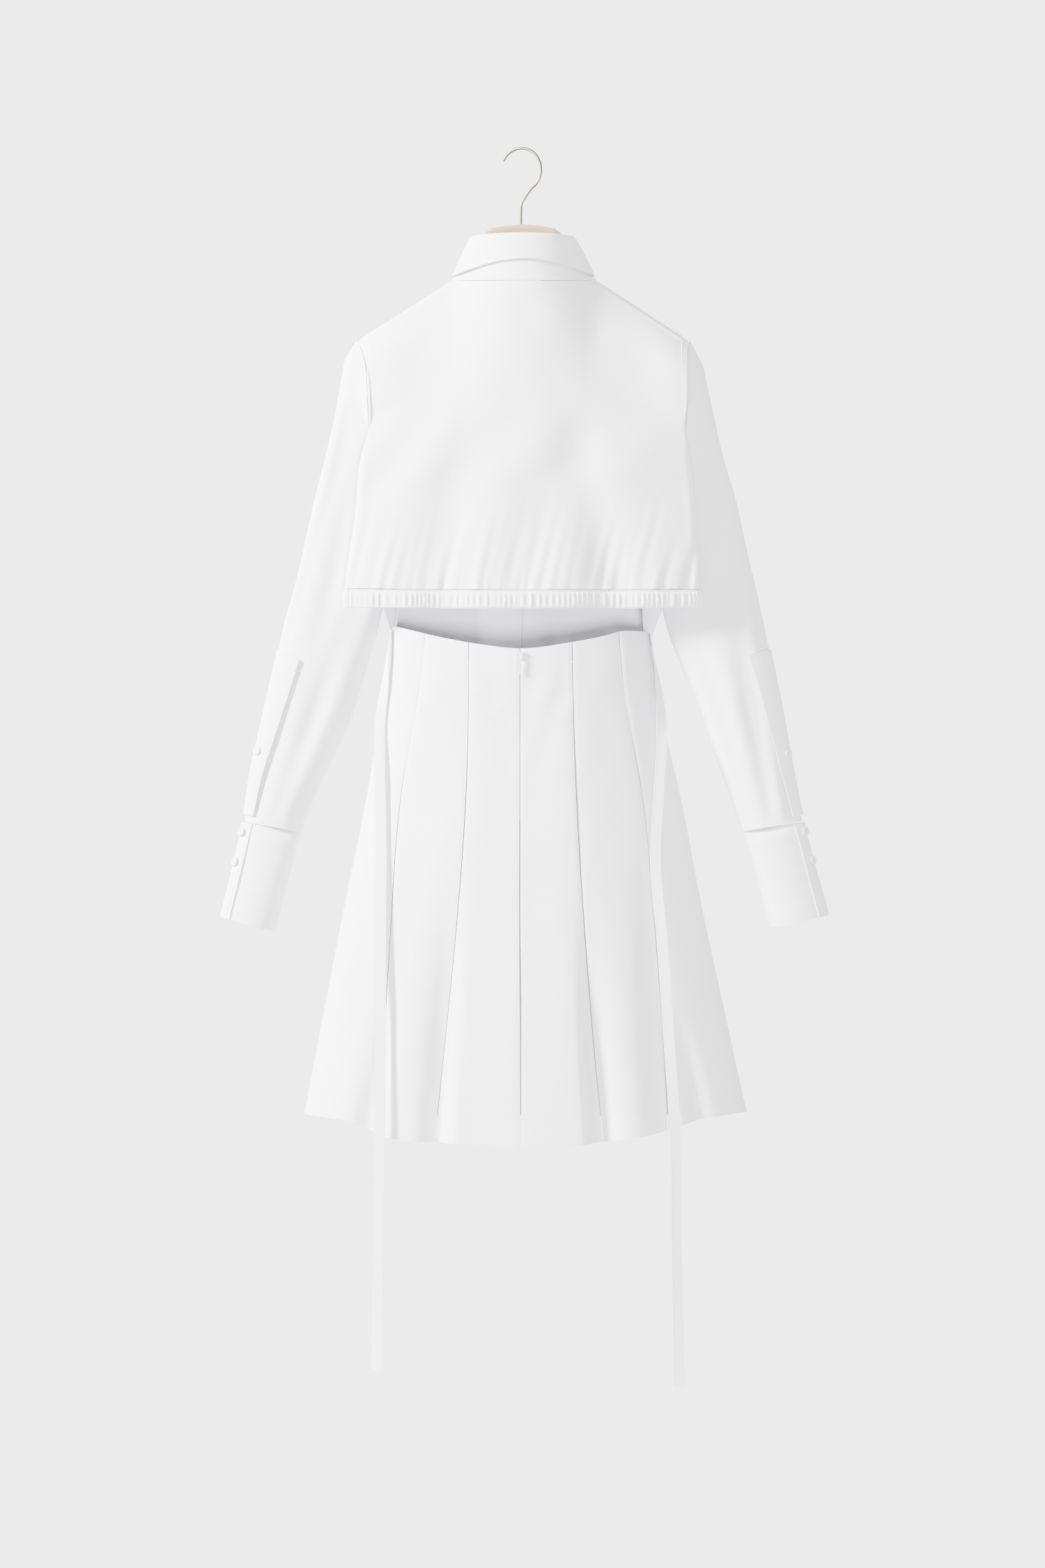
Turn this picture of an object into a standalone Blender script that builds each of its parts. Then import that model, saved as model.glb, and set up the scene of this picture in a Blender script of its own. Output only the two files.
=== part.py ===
"""A white shirt dress hung on a wooden hanger.

Units are millimetres in the tables and metres in the scene. +Z is up, +Y is the dress's back, -Y its buttoned
front, and +X its wearer's left. The origin is the inside top of the hanger's hook, where a rail carries it.

The back hangs free as a cape with an elasticated hem. Below it the back is open down to the skirt, which has
a concealed zip. Each cut piece is an open surface of rows and columns, given its wall by Solidify.
"""

import math

import bmesh
import bpy
import numpy as np
from mathutils import Matrix, Vector

MM = 0.001
WALL = 1.2  # cloth
BAND_WALL = 1.6  # collar and cuffs: two layers and an interlining
CASING_WALL = 2.4  # a folded casing with elastic inside
SEAM = 0.25  # each side of a seam line keeps this much clear
LAYER = 0.4  # clear space between a piece and what lies on it

# Shoulders and neck
SHOULDER = {"left": (186.0, -215.5), "right": (-188.0, -216.0)}  # x, z of the sleeve-head end
NECK_HALF = 82.0
NECK_MID_X = -2.0
NECK_Z = -148.0
NECK_BACK_DEPTH = 44.0
NECK_BACK_DROP = 4.0
NECK_FRONT_DROP = 40.0
SHOULDER_ROUND = 7.0  # the cloth rounds over the hanger's arm on this radius

# Bodice
UNDERARM_Z = -398.0
BACK_HEM_Z = -497.0  # the casing's seam at the centre
CASING_HEIGHT = 20.0
WAIST_SEAM_Z = -575.0
WAIST_DEPTH = 52.0
BACK_DEPTH = 56.0
CORNER_DEPTH = 36.0
FRONT_DEPTH = 50.0

# z, left x, right x: where the back turns round its side, from the shoulder down to the hem
BACK_CORNER = (
    (-211.0, 176.0, -179.0),
    (-243.0, 168.0, -177.0),
    (-265.0, 165.0, -178.0),
    (-304.0, 168.0, -180.0),
    (-348.0, 175.0, -183.0),
    (-381.0, 179.0, -187.0),
    (-425.0, 184.0, -190.0),
    (-464.0, 190.0, -193.0),
    (-518.0, 197.0, -197.0),
)
# z, left x, right x: the hidden front turns round its side further in
FRONT_CORNER = (
    (-211.0, 176.0, -179.0),
    (-265.0, 165.0, -174.0),
    (-304.0, 167.0, -176.0),
    (-348.0, 170.0, -176.0),
    (-400.0, 168.0, -172.0),
    (-464.0, 162.0, -165.0),
    (-510.0, 155.0, -157.0),
    (-545.0, 147.5, -145.5),
    (-600.0, 146.0, -144.0),
)
# share of the way down the armhole, left x, right x, y each side, z
ARMHOLE = (
    (0.00, 186.0, -188.0, 1.0, -215.5),
    (0.10, 180.0, -186.0, 12.0, -228.0),
    (0.24, 175.0, -185.0, 24.0, -250.0),
    (0.42, 173.0, -185.0, 30.0, -290.0),
    (0.60, 171.0, -181.0, 28.0, -328.0),
    (0.78, 160.0, -170.0, 20.0, -362.0),
    (0.90, 147.0, -157.0, 9.0, -387.0),
    (1.00, 137.0, -145.0, 1.0, -398.0),
)
# z, left x, right x: the side seam from the underarm to the waist
SIDE_SEAM = (
    (-398.0, 137.0, -145.0),
    (-450.0, 138.0, -142.0),
    (-500.0, 140.0, -137.0),
    (-541.0, 144.0, -138.0),
    (-600.0, 150.0, -150.0),
)
# Long soft folds of the free back: x at the top, x at the hem, z of the top, half-width, depth
BACK_FOLDS = (
    ("left", 49.0, 90.0, -215.0, 26.0, 6.0),
    ("right", -30.0, -98.0, -185.0, 28.0, 8.0),
)

# Skirt: z, left x, right x, half depth
SKIRT = (
    (-535.0, 146.0, -140.0, 50.0),
    (-569.0, 147.0, -146.0, 53.0),
    (-593.0, 151.0, -150.0, 55.0),
    (-642.0, 160.0, -157.0, 58.0),
    (-702.0, 170.0, -171.0, 62.0),
    (-753.0, 180.0, -182.0, 65.0),
    (-835.0, 197.0, -198.0, 69.0),
    (-948.0, 219.0, -222.0, 74.0),
    (-1037.0, 236.0, -242.0, 78.0),
    (-1120.0, 251.0, -262.0, 82.0),
)
# x, z of the skirt back's top edge, and of the hem behind
SKIRT_TOP = ((-140, -543), (-107, -544), (-97, -547), (-54, -556), (4, -563), (49, -558), (92, -550), (147, -536))
SKIRT_HEM = ((-262, -1081), (-195, -1089), (-158, -1101), (-118, -1108), (-55, -1115), (3, -1116), (96, -1112),
             (151, -1107), (189, -1092), (251, -1084))
FRONT_HEM_DROP = 10.0  # the front hem dips this much at its centre
# z, then x of the seams: left outer, left inner, centre back, right inner, right outer
SKIRT_SEAMS = (
    (-535.0, 108.0, 60.0, 3.0, -55.0, -107.0),
    (-601.0, 115.0, 60.0, 3.0, -56.0, -113.0),
    (-729.0, 136.0, 63.0, 3.0, -60.0, -134.0),
    (-890.0, 148.0, 75.0, 3.0, -70.0, -149.0),
    (-1012.0, 155.0, 87.0, 2.0, -80.0, -158.0),
    (-1120.0, 160.0, 99.0, 2.0, -91.0, -163.0),
)
# Folds of the skirt, behind and in front: x at the top and at the hem, z of the top, then the half-width
# towards each side and the depth at the hem
SKIRT_BACK_FOLDS = (
    ("left godet", 70.0, 92.0, -800.0, 20.0, 9.0, 17.0),
    ("right godet", -66.0, -84.0, -820.0, 9.0, 22.0, 17.0),
    ("right valley", -132.0, -158.0, -760.0, 14.0, 12.0, 15.0),
    ("right edge", -165.0, -196.0, -930.0, 8.0, 16.0, 13.0),
    ("left side", 140.0, 172.0, -900.0, 16.0, 14.0, 14.0),
)
SKIRT_FRONT_FOLDS = (
    ("left godet", 78.0, 104.0, -830.0, 12.0, 20.0, 15.0),
    ("right godet", -72.0, -96.0, -810.0, 22.0, 12.0, 16.0),
    ("left side", 142.0, 176.0, -880.0, 16.0, 14.0, 12.0),
    ("right side", -146.0, -182.0, -900.0, 14.0, 16.0, 12.0),
)

# Sleeves, from the armhole down to the cuff: outer x, outer z, inner x, inner z, half depth
SLEEVES = {
    "left": (
        (198.0, -237.0, 140.0, -408.0, 20.5),
        (208.0, -287.0, 143.0, -424.0, 14.5),
        (222.0, -350.0, 148.0, -450.0, 13.0),
        (237.0, -412.0, 154.0, -490.0, 13.5),
        (252.0, -480.0, 163.0, -535.0, 14.5),
        (268.0, -540.0, 177.0, -585.0, 16.0),
        (281.0, -598.0, 195.0, -642.0, 17.0),
        (294.0, -655.0, 216.0, -690.0, 17.0),
        (304.0, -700.0, 234.0, -728.0, 16.0),
        (312.5, -756.0, 249.0, -768.0, 15.0),
    ),
    "right": (
        (-203.0, -245.0, -147.0, -408.0, 20.5),
        (-212.0, -290.0, -148.0, -424.0, 14.5),
        (-224.0, -348.0, -150.0, -450.0, 13.0),
        (-240.0, -400.0, -155.0, -490.0, 13.5),
        (-257.0, -475.0, -163.0, -536.0, 14.5),
        (-271.0, -538.0, -179.0, -578.0, 16.0),
        (-284.0, -598.0, -197.0, -620.0, 17.0),
        (-295.0, -655.0, -216.0, -676.0, 17.0),
        (-304.0, -705.0, -232.0, -722.0, 16.0),
        (-314.5, -756.0, -247.5, -767.0, 15.0),
    ),
}
CUFFS = {
    "left": (
        (313.0, -757.2, 249.5, -768.9, 15.0),
        (325.0, -810.0, 261.5, -812.0, 15.5),
        (338.0, -864.0, 279.0, -880.0, 16.5),
    ),
    "right": (
        (-315.0, -757.2, -248.0, -767.8, 15.0),
        (-328.0, -808.0, -261.5, -810.0, 15.5),
        (-343.0, -862.0, -277.5, -876.0, 16.5),
    ),
}
# The sleeve's opening, as degrees round from its outer edge: the placket's edge at its top and at the cuff
UNDERARM_TAPER = 0.55  # the sleeve is thinner towards the underarm, down to this share of its length
UNDERARM_REACH = 0.45
PLACKET_TOP_DEG = 62.0
PLACKET_LOW_DEG = 48.0
PLACKET_BACK_DEG = -14.0
CUFF_UNDER_DEG = -12.0
BUTTON_RADIUS = 5.2
BUTTON_THICK = 2.2

# Ties: z, x, y of the left and of the right one
TIE_WIDTH = 12.0
TIES = {
    "left": ((-540, 148.2, 5), (-600, 154, 12), (-647, 160, 20), (-694, 160, 31), (-757, 158, 40), (-885, 158, 54),
             (-1000, 158, 64), (-1092, 158, 72), (-1230, 160, 75), (-1365, 162, 75)),
    "right": ((-544, -143.0, 5), (-600, -152, 12), (-654, -156, 27), (-710, -153, 39), (-796, -148, 48),
              (-885, -155, 56), (-1000, -163, 62), (-1092, -169, 69), (-1230, -171, 72), (-1382, -174, 72)),
}

# Hanger
HOOK_WIRE = 1.75
HOOK_RADIUS = 25.0
HOOK_SWIVEL_DEG = -25.0
SHANK_X = 2.0
WOOD_TOP_Z = -84.0
WOOD_THICK = 12.0
WOOD_ARM = 27.0
WOOD_BELOW = 3.4  # the arm's upper edge lies this far under the shoulder line
SHANK_DEPTH = 14.0

WHITE = (0.86, 0.86, 0.89)
LOOKS = {
    "cotton": (WHITE, 0.85, 0.0),
    "button": ((0.90, 0.89, 0.86), 0.25, 0.0),
    "zip": ((0.80, 0.80, 0.82), 0.35, 0.4),
    "beech": ((0.72, 0.58, 0.42), 0.5, 0.0),
    "nickel": ((0.55, 0.52, 0.48), 0.3, 1.0),
}


# ---------------------------------------------------------------- scene and materials


def clear_scene():
    for item in list(bpy.data.objects):
        bpy.data.objects.remove(item, do_unlink=True)


def collection(name, hidden=False):
    made = bpy.data.collections.new(name)
    made.hide_render = hidden
    bpy.context.scene.collection.children.link(made)
    return made


def material(name, look):
    colour, roughness, metallic = LOOKS[look]
    made = bpy.data.materials.new(name)
    made.use_nodes = True
    shader = made.node_tree.nodes["Principled BSDF"]
    shader.inputs["Base Color"].default_value = (*colour, 1.0)
    shader.inputs["Roughness"].default_value = roughness
    shader.inputs["Metallic"].default_value = metallic
    return made


def add_object(name, data, look):
    made = bpy.data.objects.new(name, data)
    PARTS.objects.link(made)
    data.materials.append(material(name, look))
    return made


# ---------------------------------------------------------------- curves and surfaces


def smooth_at(knots, values, at):
    """A smooth curve through the values at rising or falling knots, read at the given places."""
    x = np.asarray(knots, float)
    y = np.asarray(values, float)
    if x[0] > x[-1]:
        x, y = x[::-1], y[::-1]
    at = np.clip(np.asarray(at, float), x[0], x[-1])
    slope = np.gradient(y, x)
    i = np.clip(np.searchsorted(x, at) - 1, 0, len(x) - 2)
    h = x[i + 1] - x[i]
    t = (at - x[i]) / h
    return (
        (1 + 2 * t) * (1 - t) ** 2 * y[i]
        + t * (1 - t) ** 2 * h * slope[i]
        + t**2 * (3 - 2 * t) * y[i + 1]
        + t**2 * (t - 1) * h * slope[i + 1]
    )


def column(table, index, at):
    rows = np.array([row for row in table], float)
    return smooth_at(rows[:, 0], rows[:, index], at)


def ease(t):
    t = np.clip(t, 0.0, 1.0)
    return t * t * (3 - 2 * t)


def side_index(side):
    return 1 if side == "left" else 2


def cloth(name, rows, wall=WALL, look="cotton", closed=False, offset=0.0):
    """A wall of cloth on a grid of points in millimetres: rows of equal length, closed into rings or open."""
    grid = np.asarray(rows, float)
    count, across = grid.shape[:2]
    mesh = bpy.data.meshes.new(name)
    work = bmesh.new()
    verts = [[work.verts.new(Vector(point) * MM) for point in row] for row in grid]
    for i in range(count - 1):
        for j in range(across if closed else across - 1):
            k = (j + 1) % across
            work.faces.new((verts[i][j], verts[i][k], verts[i + 1][k], verts[i + 1][j]))
    work.to_mesh(mesh)
    work.free()
    mesh.shade_smooth()
    made = add_object(name, mesh, look)
    solid = made.modifiers.new("Wall", "SOLIDIFY")
    solid.thickness = wall * MM
    solid.offset = offset
    solid.use_rim = True
    return made


def moved_out(rows, distance, closed=False):
    """The grid's points moved along its normals, towards the side that the rows turn their right hand to."""
    grid = np.asarray(rows, float)
    if closed:
        across = np.roll(grid, -1, axis=1) - np.roll(grid, 1, axis=1)
    else:
        across = np.gradient(grid, axis=1)
    down = np.gradient(grid, axis=0)
    normal = np.cross(across, down)
    normal /= np.linalg.norm(normal, axis=2, keepdims=True)
    return grid + normal * distance


def lerp(a, b, t):
    return a + (b - a) * t


# ---------------------------------------------------------------- the bodice's form


def shoulder_line(x):
    """z of the shoulder seam, and of the neck's edge behind, over x."""
    end_x, end_z = SHOULDER["left"] if x > NECK_MID_X else SHOULDER["right"]
    neck_x = NECK_MID_X + math.copysign(NECK_HALF, x - NECK_MID_X)
    t = (x - neck_x) / (end_x - neck_x)
    return NECK_Z + (end_z - NECK_Z) * t


def neck_share(x):
    """1 at the middle of the neck, 0 from its side points outwards."""
    return max(0.0, 1 - ((x - NECK_MID_X) / NECK_HALF) ** 2) ** 0.8


def top_edge(x, face):
    """y and z of the panel's top edge: along the shoulder, then round the neck. face is 1 behind, -1 in front."""
    share = neck_share(x)
    drop = NECK_BACK_DROP if face > 0 else NECK_FRONT_DROP
    if share > 0:
        return face * max(2 * SEAM, NECK_BACK_DEPTH * share), NECK_Z - drop * share
    return face * 2 * SEAM, shoulder_line(x)


def fold_depth(x, z, folds, z_low):
    """How far the long soft folds press the cloth in at this place."""
    depth = 0.0
    for _, top_x, low_x, top_z, half, deep in folds:
        t = (top_z - z) / (top_z - z_low)
        if t > 0:
            off = (x - lerp(top_x, low_x, t)) / half
            depth += deep * ease(t) * math.exp(-off * off)
    return depth


def bodice_y(x, z, face):
    """y of the back (face 1) or the front (face -1) over x and z."""
    top_y, top_z = top_edge(x, face)
    below = max(0.0, top_z - z)
    shoulder = 1 - min(1.0, 3 * neck_share(x))
    round_over = SHOULDER_ROUND * shoulder
    arc = min(1.0, below / SHOULDER_ROUND)
    y = abs(top_y) + round_over * math.sqrt(max(0.0, 1 - (1 - arc) ** 2))
    full = BACK_DEPTH if face > 0 else FRONT_DEPTH
    low = CORNER_DEPTH + (full - CORNER_DEPTH) * (1 - min(1.0, (abs(x) / 195.0)) ** 2)
    t = min(1.0, below / 230.0)
    y += (low - abs(top_y) - round_over) * (1 - (1 - t) ** 2)
    if face > 0:
        y -= fold_depth(x, z, BACK_FOLDS, BACK_HEM_Z)
    return face * y


def armhole(share, side, face):
    """A point of the armhole's seam, from the shoulder (0) to the underarm (1)."""
    return np.array([
        column(ARMHOLE, side_index(side), share),
        face * column(ARMHOLE, 3, share),
        column(ARMHOLE, 4, share),
    ])


def side_edge(z, side, face):
    """The panel's sewn side edge at a height: the armhole, then the side seam. It keeps clear of the seam."""
    shares = np.linspace(0, 1, 60)
    heights = column(ARMHOLE, 4, shares)
    if z > UNDERARM_Z:
        share = float(np.interp(-z, -heights, shares))
        x, y, _ = armhole(share, side, face)
        inward = -1 if side == "left" else 1
        return np.array([x + inward * 2.4, y + face * 0.6, z])
    return np.array([column(SIDE_SEAM, side_index(side), z), face * (WALL / 2 + SEAM + 1.0), z])


def turn_in(corner, edge, side, face, count):
    """Points from where the panel turns round its side to its sewn edge, in a flat lobe beside the sleeve."""
    outward = 1 if side == "left" else -1
    reach = abs(corner[0] - edge[0])
    bulge = min(5.0, reach * 0.3)
    inner = max(abs(edge[1]), min(20.0, abs(corner[1]) - 9.0))
    near = abs(edge[0]) + min(12.0, reach * 0.35)
    knots = np.array([
        corner,
        [corner[0] + outward * bulge, face * lerp(abs(corner[1]), inner, 0.45), lerp(corner[2], edge[2], 0.1)],
        [outward * lerp(abs(corner[0]), near, 0.35), face * inner, lerp(corner[2], edge[2], 0.3)],
        [outward * near, face * lerp(inner, abs(edge[1]), 0.25), lerp(corner[2], edge[2], 0.8)],
        edge,
    ])
    at = np.linspace(0, 1, count + 1)[1:]
    return np.stack([smooth_at(np.linspace(0, 1, 5), knots[:, i], at) for i in range(3)], axis=1)


TURN = 5  # columns of each turned-in side


def bodice_row(z_left, z_mid, z_right, corners, face, across, edge_shift=0.0):
    """One row of a panel that runs from side edge to side edge, at three heights across."""
    left = column(corners, 1, z_left)
    right = column(corners, 2, z_right)
    middle = []
    for u in np.linspace(1, -1, across):
        x = lerp(right, left, (u + 1) / 2)
        z = z_mid + (z_left - z_mid) * abs(u) ** 2 if u > 0 else z_mid + (z_right - z_mid) * abs(u) ** 2
        middle.append([x, bodice_y(x, z, face), z])
    ends = []
    for side, corner, z in (("left", middle[0], z_left), ("right", middle[-1], z_right)):
        edge = side_edge(z + edge_shift, side, face)
        ends.append(turn_in(np.array(corner), edge, side, face, TURN))
    return np.concatenate([ends[0][::-1], middle, ends[1]])


def bodice_rows(z_lefts, z_mids, z_rights, corners, face, across):
    return np.array([
        bodice_row(a, b, c, corners, face, across) for a, b, c in zip(z_lefts, z_mids, z_rights)
    ])


def bodice_top_row(corners, face, across):
    """The shoulder seams and the neck's edge between them."""
    left = column(corners, 1, -211.0)
    right = column(corners, 2, -211.0)
    points = []
    for u in np.linspace(1, -1, across):
        x = lerp(right, left, (u + 1) / 2)
        y, z = top_edge(x, face)
        points.append([x, y, z - LAYER * neck_share(x)])
    ends = []
    for side in ("left", "right"):
        end = np.array([*[SHOULDER[side][0]], face * 2 * SEAM, SHOULDER[side][1]])
        corner = np.array(points[0] if side == "left" else points[-1])
        inward = -1 if side == "left" else 1
        end[0] += inward * 1.5
        ends.append(np.array([corner + (end - corner) * t for t in np.linspace(0, 1, TURN + 1)[1:]]))
    return np.concatenate([ends[0][::-1], points, ends[1]])


def panel_rows(corners, face, across, low_left, low_mid, low_right, count):
    """A whole front or back: its top row, then rows that spread down to the lower edge."""
    top = bodice_top_row(corners, face, across)
    rows = [top]
    steps = [0.012, 0.028, 0.055, *np.linspace(0.11, 1.0, count)]
    for t in steps:
        left_z = lerp(SHOULDER["left"][1], low_left, t)
        right_z = lerp(SHOULDER["right"][1], low_right, t)
        row = bodice_row(left_z, low_mid, right_z, corners, face, across)
        for j in range(TURN, TURN + across):
            x = row[j][0]
            u = (j - TURN) / (across - 1)
            share = 1 - (2 * u - 1) ** 2
            low = lerp(lerp(low_left, low_right, u), low_mid, share)
            top_z = top_edge(x, face)[1] - LAYER * neck_share(x)
            z = lerp(top_z, low, t)
            row[j] = [x, bodice_y(x, z, face), z]
        rows.append(row)
    for i, row in enumerate(rows[1:], 1):
        for side, near, far in (("left", TURN, 0), ("right", TURN + across - 1, len(row) - 1)):
            edge = side_edge(lerp(SHOULDER[side][1], low_left, steps[i - 1]) - 0.0, side, face)
            ends = turn_in(row[near], edge, side, face, TURN)
            if side == "left":
                row[:TURN] = ends[::-1]
            else:
                row[-TURN:] = ends
    return np.array(rows)


# ---------------------------------------------------------------- the skirt's form


def skirt_form(z):
    left, right, depth = (column(SKIRT, i, z) for i in (1, 2, 3))
    return (left + right) / 2, (left - right) / 2, depth


def seam_angle(index, z):
    """The seam's angle round the skirt: 0 is the left side, 90 degrees the centre back."""
    middle, half, _ = skirt_form(z)
    return math.acos(max(-1.0, min(1.0, (column(SKIRT_SEAMS, index, z) - middle) / half)))


def skirt_point(angle, z):
    middle, half, depth = skirt_form(z)
    x = middle + half * math.cos(angle)
    y = depth * math.sin(angle)
    folds = SKIRT_BACK_FOLDS if y > 0 else SKIRT_FRONT_FOLDS
    press = 0.0
    for _, top_x, low_x, top_z, half_left, half_right, deep in folds:
        t = (top_z - z) / (top_z + 1110.0)
        if t > 0:
            off = x - lerp(top_x, low_x, t)
            off /= half_left if off > 0 else half_right
            press += deep * ease(t) * math.exp(-off * off)
    return np.array([x, y - math.copysign(press, y) * abs(math.sin(angle)) ** 0.5, z])


def skirt_panel(start, end, count, rows, front=False):
    """Rows from the top edge to the hem between two angles, each a function of z."""
    grid = []
    for v in np.linspace(0, 1, rows):
        line = []
        for u in np.linspace(0, 1, count):
            z = lerp(WAIST_SEAM_Z, -1090.0, v)
            for _ in range(3):
                angle = lerp(start(z), end(z), u)
                x = skirt_form(z)[0] + skirt_form(z)[1] * math.cos(angle)
                if front:
                    z = lerp(WAIST_SEAM_Z - 0.5, -1083.0 - FRONT_HEM_DROP * abs(math.sin(angle)), v)
                else:
                    top = smooth_at(*zip(*SKIRT_TOP), x)
                    low = smooth_at(*zip(*SKIRT_HEM), x)
                    z = lerp(float(top), float(low), v)
            gap = SEAM / max(60.0, skirt_form(z)[2])
            edge = gap if u == 0 else (-gap if u == 1 else 0.0)
            line.append(skirt_point(lerp(start(z), end(z), u) + edge, z))
        grid.append(line)
    return np.array(grid)


# ---------------------------------------------------------------- sleeves, cuffs and their trim


def arm_ring(rows, at, degrees, extra=0.0, taper_to=1e-9):
    """Points round an arm: 0 degrees is its outer edge and 90 its back. at runs from 0 to 1 down the rows."""
    table = np.array(rows)
    knots = np.linspace(0, 1, len(table))
    outer_x, outer_z, inner_x, inner_z, deep = (smooth_at(knots, table[:, i], at) for i in range(5))
    outer = np.array([outer_x, 0, outer_z])
    inner = np.array([inner_x, 0, inner_z])
    middle, reach = (outer + inner) / 2, (outer - inner) / 2
    stretch = 1 + extra / np.linalg.norm(reach)
    ring = []
    for angle in np.radians(degrees):
        inner_share = (1 - math.cos(angle)) / 2
        full = (deep + extra) * (1 - UNDERARM_TAPER * inner_share * float(ease(1 - at / taper_to)))
        ring.append(middle + reach * stretch * math.cos(angle) + np.array([0, full * math.sin(angle), 0]))
    return np.array(ring)


def armhole_ring(side, degrees):
    """The sleeve's first ring, just outside the armhole's seam."""
    outward = 1 if side == "left" else -1
    ring = []
    for angle in degrees:
        turn = angle % 360
        face = 1 if turn < 180 else -1
        share = (turn if turn < 180 else 360 - turn) / 180
        x, y, z = armhole(share, side, face)
        ring.append([x + outward * 0.5, y * lerp(0.93, 0.70, share), z])
    return np.array(ring)


def sleeve_rows(side, around):
    degrees = np.arange(around) * 360 / around
    rows = [armhole_ring(side, degrees)]
    for at in np.linspace(0, 1, 11):
        rows.append(arm_ring(SLEEVES[side], at, degrees, taper_to=UNDERARM_REACH))
    return np.array(rows)


def band_rows(rows, edge, back, count, around, extra):
    """A strip round part of an arm, from its back edge to its folded edge, in degrees at the top and the foot."""
    grid = []
    for v in np.linspace(0, 1, count):
        at = lerp(rows[1], rows[2], v)
        degrees = np.linspace(lerp(*back, v), lerp(*edge, v), around)
        grid.append(arm_ring(rows[0], at, degrees, extra))
    return np.array(grid)


def cuff_rows(side, count):
    """A cuff laps over itself: it starts under its own edge and ends on top of it."""
    edge = PLACKET_LOW_DEG + 360
    degrees = np.linspace(CUFF_UNDER_DEG, edge, 26)
    lap = BAND_WALL + LAYER
    grid = []
    for v in np.linspace(0, 1, count):
        ring = []
        for angle in degrees:
            extra = lap * float(ease((angle - 300) / 45))
            ring.append(arm_ring(CUFFS[side], v, [angle], extra)[0])
        grid.append(ring)
    return np.array(grid)


def disc(name, centre, normal, radius, thick, look):
    """A button: a short round solid with a softened rim."""
    mesh = bpy.data.meshes.new(name)
    work = bmesh.new()
    bmesh.ops.create_cone(work, cap_ends=True, segments=16, radius1=radius * MM, radius2=radius * MM * 0.9,
                          depth=thick * MM)
    work.to_mesh(mesh)
    work.free()
    made = add_object(name, mesh, look)
    made.location = Vector(centre) * MM
    made.rotation_euler = Vector(normal).to_track_quat("Z", "Y").to_euler()
    return made


def arm_button(name, rows, at, degrees, extra):
    """A button that lies on the lapped strip."""
    here = arm_ring(rows, at, [degrees], extra)[0]
    beside = arm_ring(rows, at, [degrees + 4], extra)[0]
    below = arm_ring(rows, min(1.0, at + 0.02), [degrees], extra)[0]
    normal = np.cross(beside - here, below - here)
    middle = arm_ring(rows, at, [0, 180]).mean(axis=0)
    if np.dot(normal, here - middle) < 0:
        normal = -normal
    normal /= np.linalg.norm(normal)
    disc(name, here + normal * 2.4, normal, BUTTON_RADIUS, BUTTON_THICK, "button")


def make_arm(side):
    cloth(f"sleeve_{side}", sleeve_rows(side, 16), closed=True)
    rows = SLEEVES[side]
    strip = WALL + 2 * LAYER
    top = 0.60
    cloth(f"sleeve_placket_{side}", band_rows((rows, top, 0.985), (PLACKET_TOP_DEG, PLACKET_LOW_DEG),
                                              (PLACKET_BACK_DEG, PLACKET_BACK_DEG), 7, 6, strip))
    cloth(f"cuff_{side}", cuff_rows(side, 4), wall=BAND_WALL)
    arm_button(f"button_sleeve_{side}", rows, 0.83, 24, strip)
    for number, at in enumerate((0.10, 0.42), 1):
        arm_button(f"button_cuff_{side}_{number}", CUFFS[side], at, 22, BAND_WALL + LAYER)


# ---------------------------------------------------------------- collar


def collar_ring(height, degrees, extra=0.0):
    """The stand's ring from the neck seam (0) to the roll edge (1). 90 degrees is the centre back."""
    points = []
    for angle in np.radians(degrees):
        sine = math.sin(angle)
        back = max(0.0, sine)
        front = max(0.0, -sine)
        low = NECK_Z - NECK_BACK_DROP * back**1.6 - NECK_FRONT_DROP * front**1.6 + LAYER
        high = -99.0 - 50.0 * front**1.6 - 2.0 * (1 - back)
        half = lerp(NECK_HALF - 1.0, 55.0, height**0.8) + extra
        deep = lerp(NECK_BACK_DEPTH, 34.0, height) + extra
        power = lerp(1.6, 1.0, height)
        x = NECK_MID_X * (1 - height) + half * math.cos(angle)
        points.append([x, math.copysign(deep * abs(sine) ** power, sine), lerp(low, high, height)])
    return np.array(points)


COLLAR_FALL = ((0.99, 1.0, 1.8), (0.93, 2.9, 0.6), (0.80, 3.3, 0.0), (0.62, 3.8, 0.0))  # height, out, lift


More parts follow.
